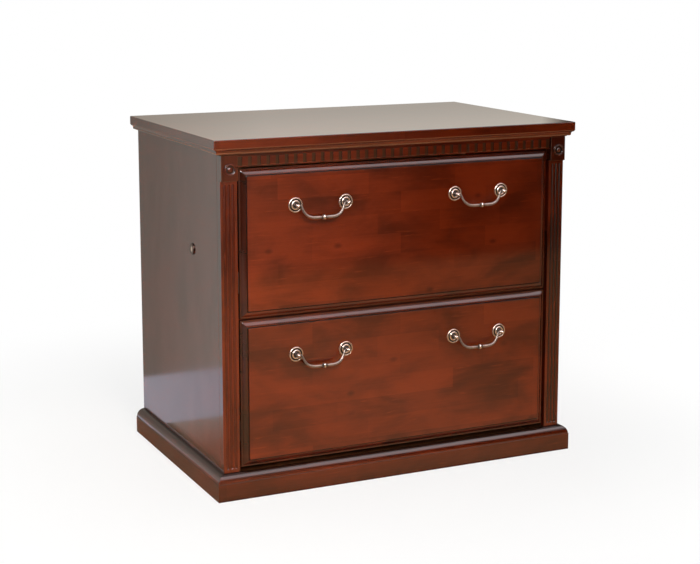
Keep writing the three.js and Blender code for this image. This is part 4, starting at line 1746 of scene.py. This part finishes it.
@dataclass(frozen=True)
class SoftBox:
    """A rectangular soft light, which reflections don't show."""

    name: str
    place: tuple[float, float, float]
    target: tuple[float, float, float]
    size: tuple[float, float]
    watts: float
    spread: float
    colour: str = WHITE

    def build(self) -> None:
        """Hangs the light and points it at its target."""
        lamp = bpy.data.lights.new(self.name, "AREA")
        lamp.shape = "RECTANGLE"
        lamp.size, lamp.size_y = self.size
        lamp.energy = self.watts
        lamp.color = linear(self.colour)[:3]
        lamp.spread = math.radians(self.spread)
        hung = bpy.data.objects.new(self.name, lamp)
        hung.location = self.place
        way = Vector(self.target) - Vector(self.place)
        hung.rotation_euler = way.to_track_quat("-Z", "Y").to_euler()
        hung.visible_camera = False
        hung.visible_glossy = False
        bpy.context.scene.collection.objects.link(hung)


def put_in_studio(name: str, bm: BMesh, finish: Finish) -> bpy.types.Object:
    """Puts a mesh in the studio that isn't part of the cabinet.

    Args:
        name: Its name.
        bm: The mesh, which is used up.
        finish: Its finish.

    Returns:
        The object.
    """
    mesh = bpy.data.meshes.new(name)
    bm.to_mesh(mesh)
    bm.free()
    mesh.materials.append(finish.material())
    thing = bpy.data.objects.new(name, mesh)
    bpy.context.scene.collection.objects.link(thing)
    return thing


@dataclass
class Studio:
    """The camera, the lights, the floor and the white surroundings."""

    camera_place: tuple[float, float, float] = (-1.5234, -3.2164, 1.1238)
    camera_yaw: float = math.radians(25.365)
    camera_pitch: float = math.radians(9.213)
    camera_lens: float = 80.35
    camera_shift: float = -0.1
    floor_size: float = 40.0
    fill_strength: float = 0.105
    lights: tuple[SoftBox, ...] = (
        SoftBox("key light", (-0.55, -2.2, 1.8), (-0.42, -0.27, 0.38), (0.6, 0.6), 3.4, 40, WARM_WHITE),
        SoftBox("low light", (0.8, -2.2, 0.45), (0.27, -0.26, 0.03), (0.3, 0.3), 0.28, 24, WARM_WHITE),
        SoftBox("frieze light", (1.3, -2.2, 0.9), (0.36, -0.26, 0.75), (0.2, 0.2), 0.08, 16, WARM_WHITE),
        SoftBox("back light", (0.2, 2.5, 1.0), (0.1, 0.28, 0.35), (1.2, 0.9), 5, 70),
        SoftBox("right light", (2.6, 0.25, 1.0), (0.41, 0.1, 0.35), (0.9, 0.9), 4, 60),
        SoftBox("overhead light", (0.5, -1.6, 2.6), (0.3, -0.26, 0.4), (2.0, 0.9), 3, 180, COOL_WHITE),
        SoftBox("front floor light", (0.1, -1.05, 1.5), (0.1, -1.05, 0.0), (2.4, 0.5), 8, 65),
        SoftBox("left floor light", (-1.2, 0.1, 1.5), (-1.2, 0.1, 0.0), (0.5, 1.8), 6, 65),
        SoftBox("right floor light", (1.3, 0.1, 1.5), (1.3, 0.1, 0.0), (0.5, 1.8), 6, 65),
    )
    boards: tuple[ReflectionBoard, ...] = (
        ReflectionBoard(
            (-6.0, BACK_WALL, 0.0),
            (-0.45, BACK_WALL, 3.0),
            BoardPaint("left wall paint", "#fff8ee", "#bdb3a8", -0.88, -0.60),
        ),
        ReflectionBoard(
            (-0.45, BACK_WALL, 0.0),
            (0.15, BACK_WALL, 3.0),
            BoardPaint("middle wall paint", "#c4bbae", "#dfd8cc", -0.3, 0.1, 1.4, foot_share=0.62),
        ),
        ReflectionBoard(
            (0.15, BACK_WALL, 0.0),
            (6.0, BACK_WALL, 3.0),
            BoardPaint("right wall paint", "#dfd8cc", "#241d18", 0.99, 1.09, 1.4, foot_share=0.62),
        ),
        ReflectionBoard(
            (-6.0, 0.31, ON_FLOOR),
            (-0.47, BACK_WALL, ON_FLOOR),
            BoardPaint("lit floor strip", "#f0f0ff", "#f0f0ff", strength=1.25),
        ),
        ReflectionBoard(
            (-1.2, -0.3, ON_FLOOR),
            (-0.49, 0.31, ON_FLOOR),
            BoardPaint("left floor strip", "#dca088", "#f0dcd0", 0.08, 0.31, axis="Y"),
        ),
        ReflectionBoard(
            (-0.5, FRONT_WALL, 0.0),
            (8.0, FRONT_WALL, 1.8),
            BoardPaint("dark room", "#bcaa8d", "#060504", 0.42, 1.25),
        ),
        ReflectionBoard(
            (-8.0, FRONT_WALL, 0.0),
            (-0.5, FRONT_WALL, 1.8),
            BoardPaint("dark corner", "#6a6256", "#6a6256"),
        ),
        ReflectionBoard(
            (-0.32, BEFORE_WALL, 0.15),
            (-0.12, BEFORE_WALL, 0.85),
            BoardPaint("strip light", "#000000", WHITE, 0.15, 0.4, strength=9.0, axis="Z"),
        ),
        ReflectionBoard(
            (-0.5, BEFORE_WALL, 1.85),
            (-0.1, BEFORE_WALL, 2.45),
            BoardPaint("small window", WHITE, WHITE, strength=9.0),
        ),
        ReflectionBoard(
            (-1.0, -2.4, ON_FLOOR),
            (4.0, -0.28, ON_FLOOR),
            BoardPaint("front floor strip", "#d3b086", "#a8875f", 0.25, 0.85, strength=1.35),
        ),
        ReflectionBoard(
            (-2.8, -2.4, ON_FLOOR),
            (-1.0, -0.5, ON_FLOOR),
            BoardPaint("corner floor strip", "#6a6256", "#e0ccbc", -2.4, -1.7, axis="Y"),
        ),
        ReflectionBoard(
            (1.0, -0.9, ON_FLOOR),
            (5.0, 0.74, ON_FLOOR),
            BoardPaint("right floor strip", "#a3796a", "#a3796a"),
        ),
        ReflectionBoard(
            (-0.9, -2.6, 2.55),
            (2.2, -0.3, 2.55),
            BoardPaint("ceiling light", "#fbeff2", "#fbeff2", strength=3.7),
        ),
        ReflectionBoard(
            (-2.3, -1.5, 1.4),
            (-0.9, -1.5, 2.4),
            BoardPaint("left window", WHITE, WHITE, strength=45.0),
        ),
    )

    def build(self) -> None:
        """Builds the floor, the boards, the lights, the surroundings and the camera."""
        bm = bmesh.new()
        bmesh.ops.create_grid(bm, size=self.floor_size / 2)
        put_in_studio("studio_floor", bm, StudioFloor("studio paper"))
        for thing in [*self.boards, *self.lights]:
            thing.build()
        self.surround()
        self.stand_camera()

    def surround(self) -> None:
        """Makes the surroundings white to the eye and in reflections, and a soft fill as light."""
        world = bpy.data.worlds.new("studio")
        world.use_nodes = True
        tree = world.node_tree
        tree.nodes.clear()
        ray = add_node(tree, "LightPath")
        seen = ray.outputs["Is Camera Ray"]
        for kind in ("Is Glossy Ray", "Is Transmission Ray"):
            either = {0: seen, 1: ray.outputs[kind]}
            seen = add_node(tree, "Math", {"operation": "MAXIMUM"}, either).outputs[0]
        fill, white = (
            add_node(tree, "Background", inputs={"Color": linear(WHITE), "Strength": strength}).outputs[0]
            for strength in (self.fill_strength, 1.0)
        )
        mixed = add_node(tree, "MixShader", inputs={0: seen, 1: fill, 2: white})
        add_node(tree, "OutputWorld", inputs={"Surface": mixed.outputs[0]})
        bpy.context.scene.world = world

    def stand_camera(self) -> None:
        """Stands the camera where the photograph was taken from."""
        view = bpy.data.cameras.new("camera")
        view.lens = self.camera_lens
        view.shift_y = self.camera_shift
        camera = bpy.data.objects.new("camera", view)
        camera.location = self.camera_place
        flat = math.cos(self.camera_pitch)
        across, ahead = math.sin(self.camera_yaw) * flat, math.cos(self.camera_yaw) * flat
        way = Vector((across, ahead, -math.sin(self.camera_pitch)))
        camera.rotation_euler = way.to_track_quat("-Z", "Y").to_euler()
        bpy.context.scene.collection.objects.link(camera)
        bpy.context.scene.camera = camera
        bpy.context.scene.view_settings.view_transform = "Standard"


def main() -> None:
    """Builds every sub-assembly in order."""
    logging.basicConfig(level=logging.INFO, format="%(message)s")
    parts: list = [TopPanel(), Cornice(), Plinth(), Pilasters(), CornerBlocks(), DentilRail()]
    parts += [CaseBoards(), Lock()]
    for level in Level:
        parts += [DrawerFront(level), DrawerBox(level)]
        parts += [BailPull(level, side) for side in Side]
    for part in [*parts, Studio()]:
        part.build()


if __name__ == "__main__":
    main()
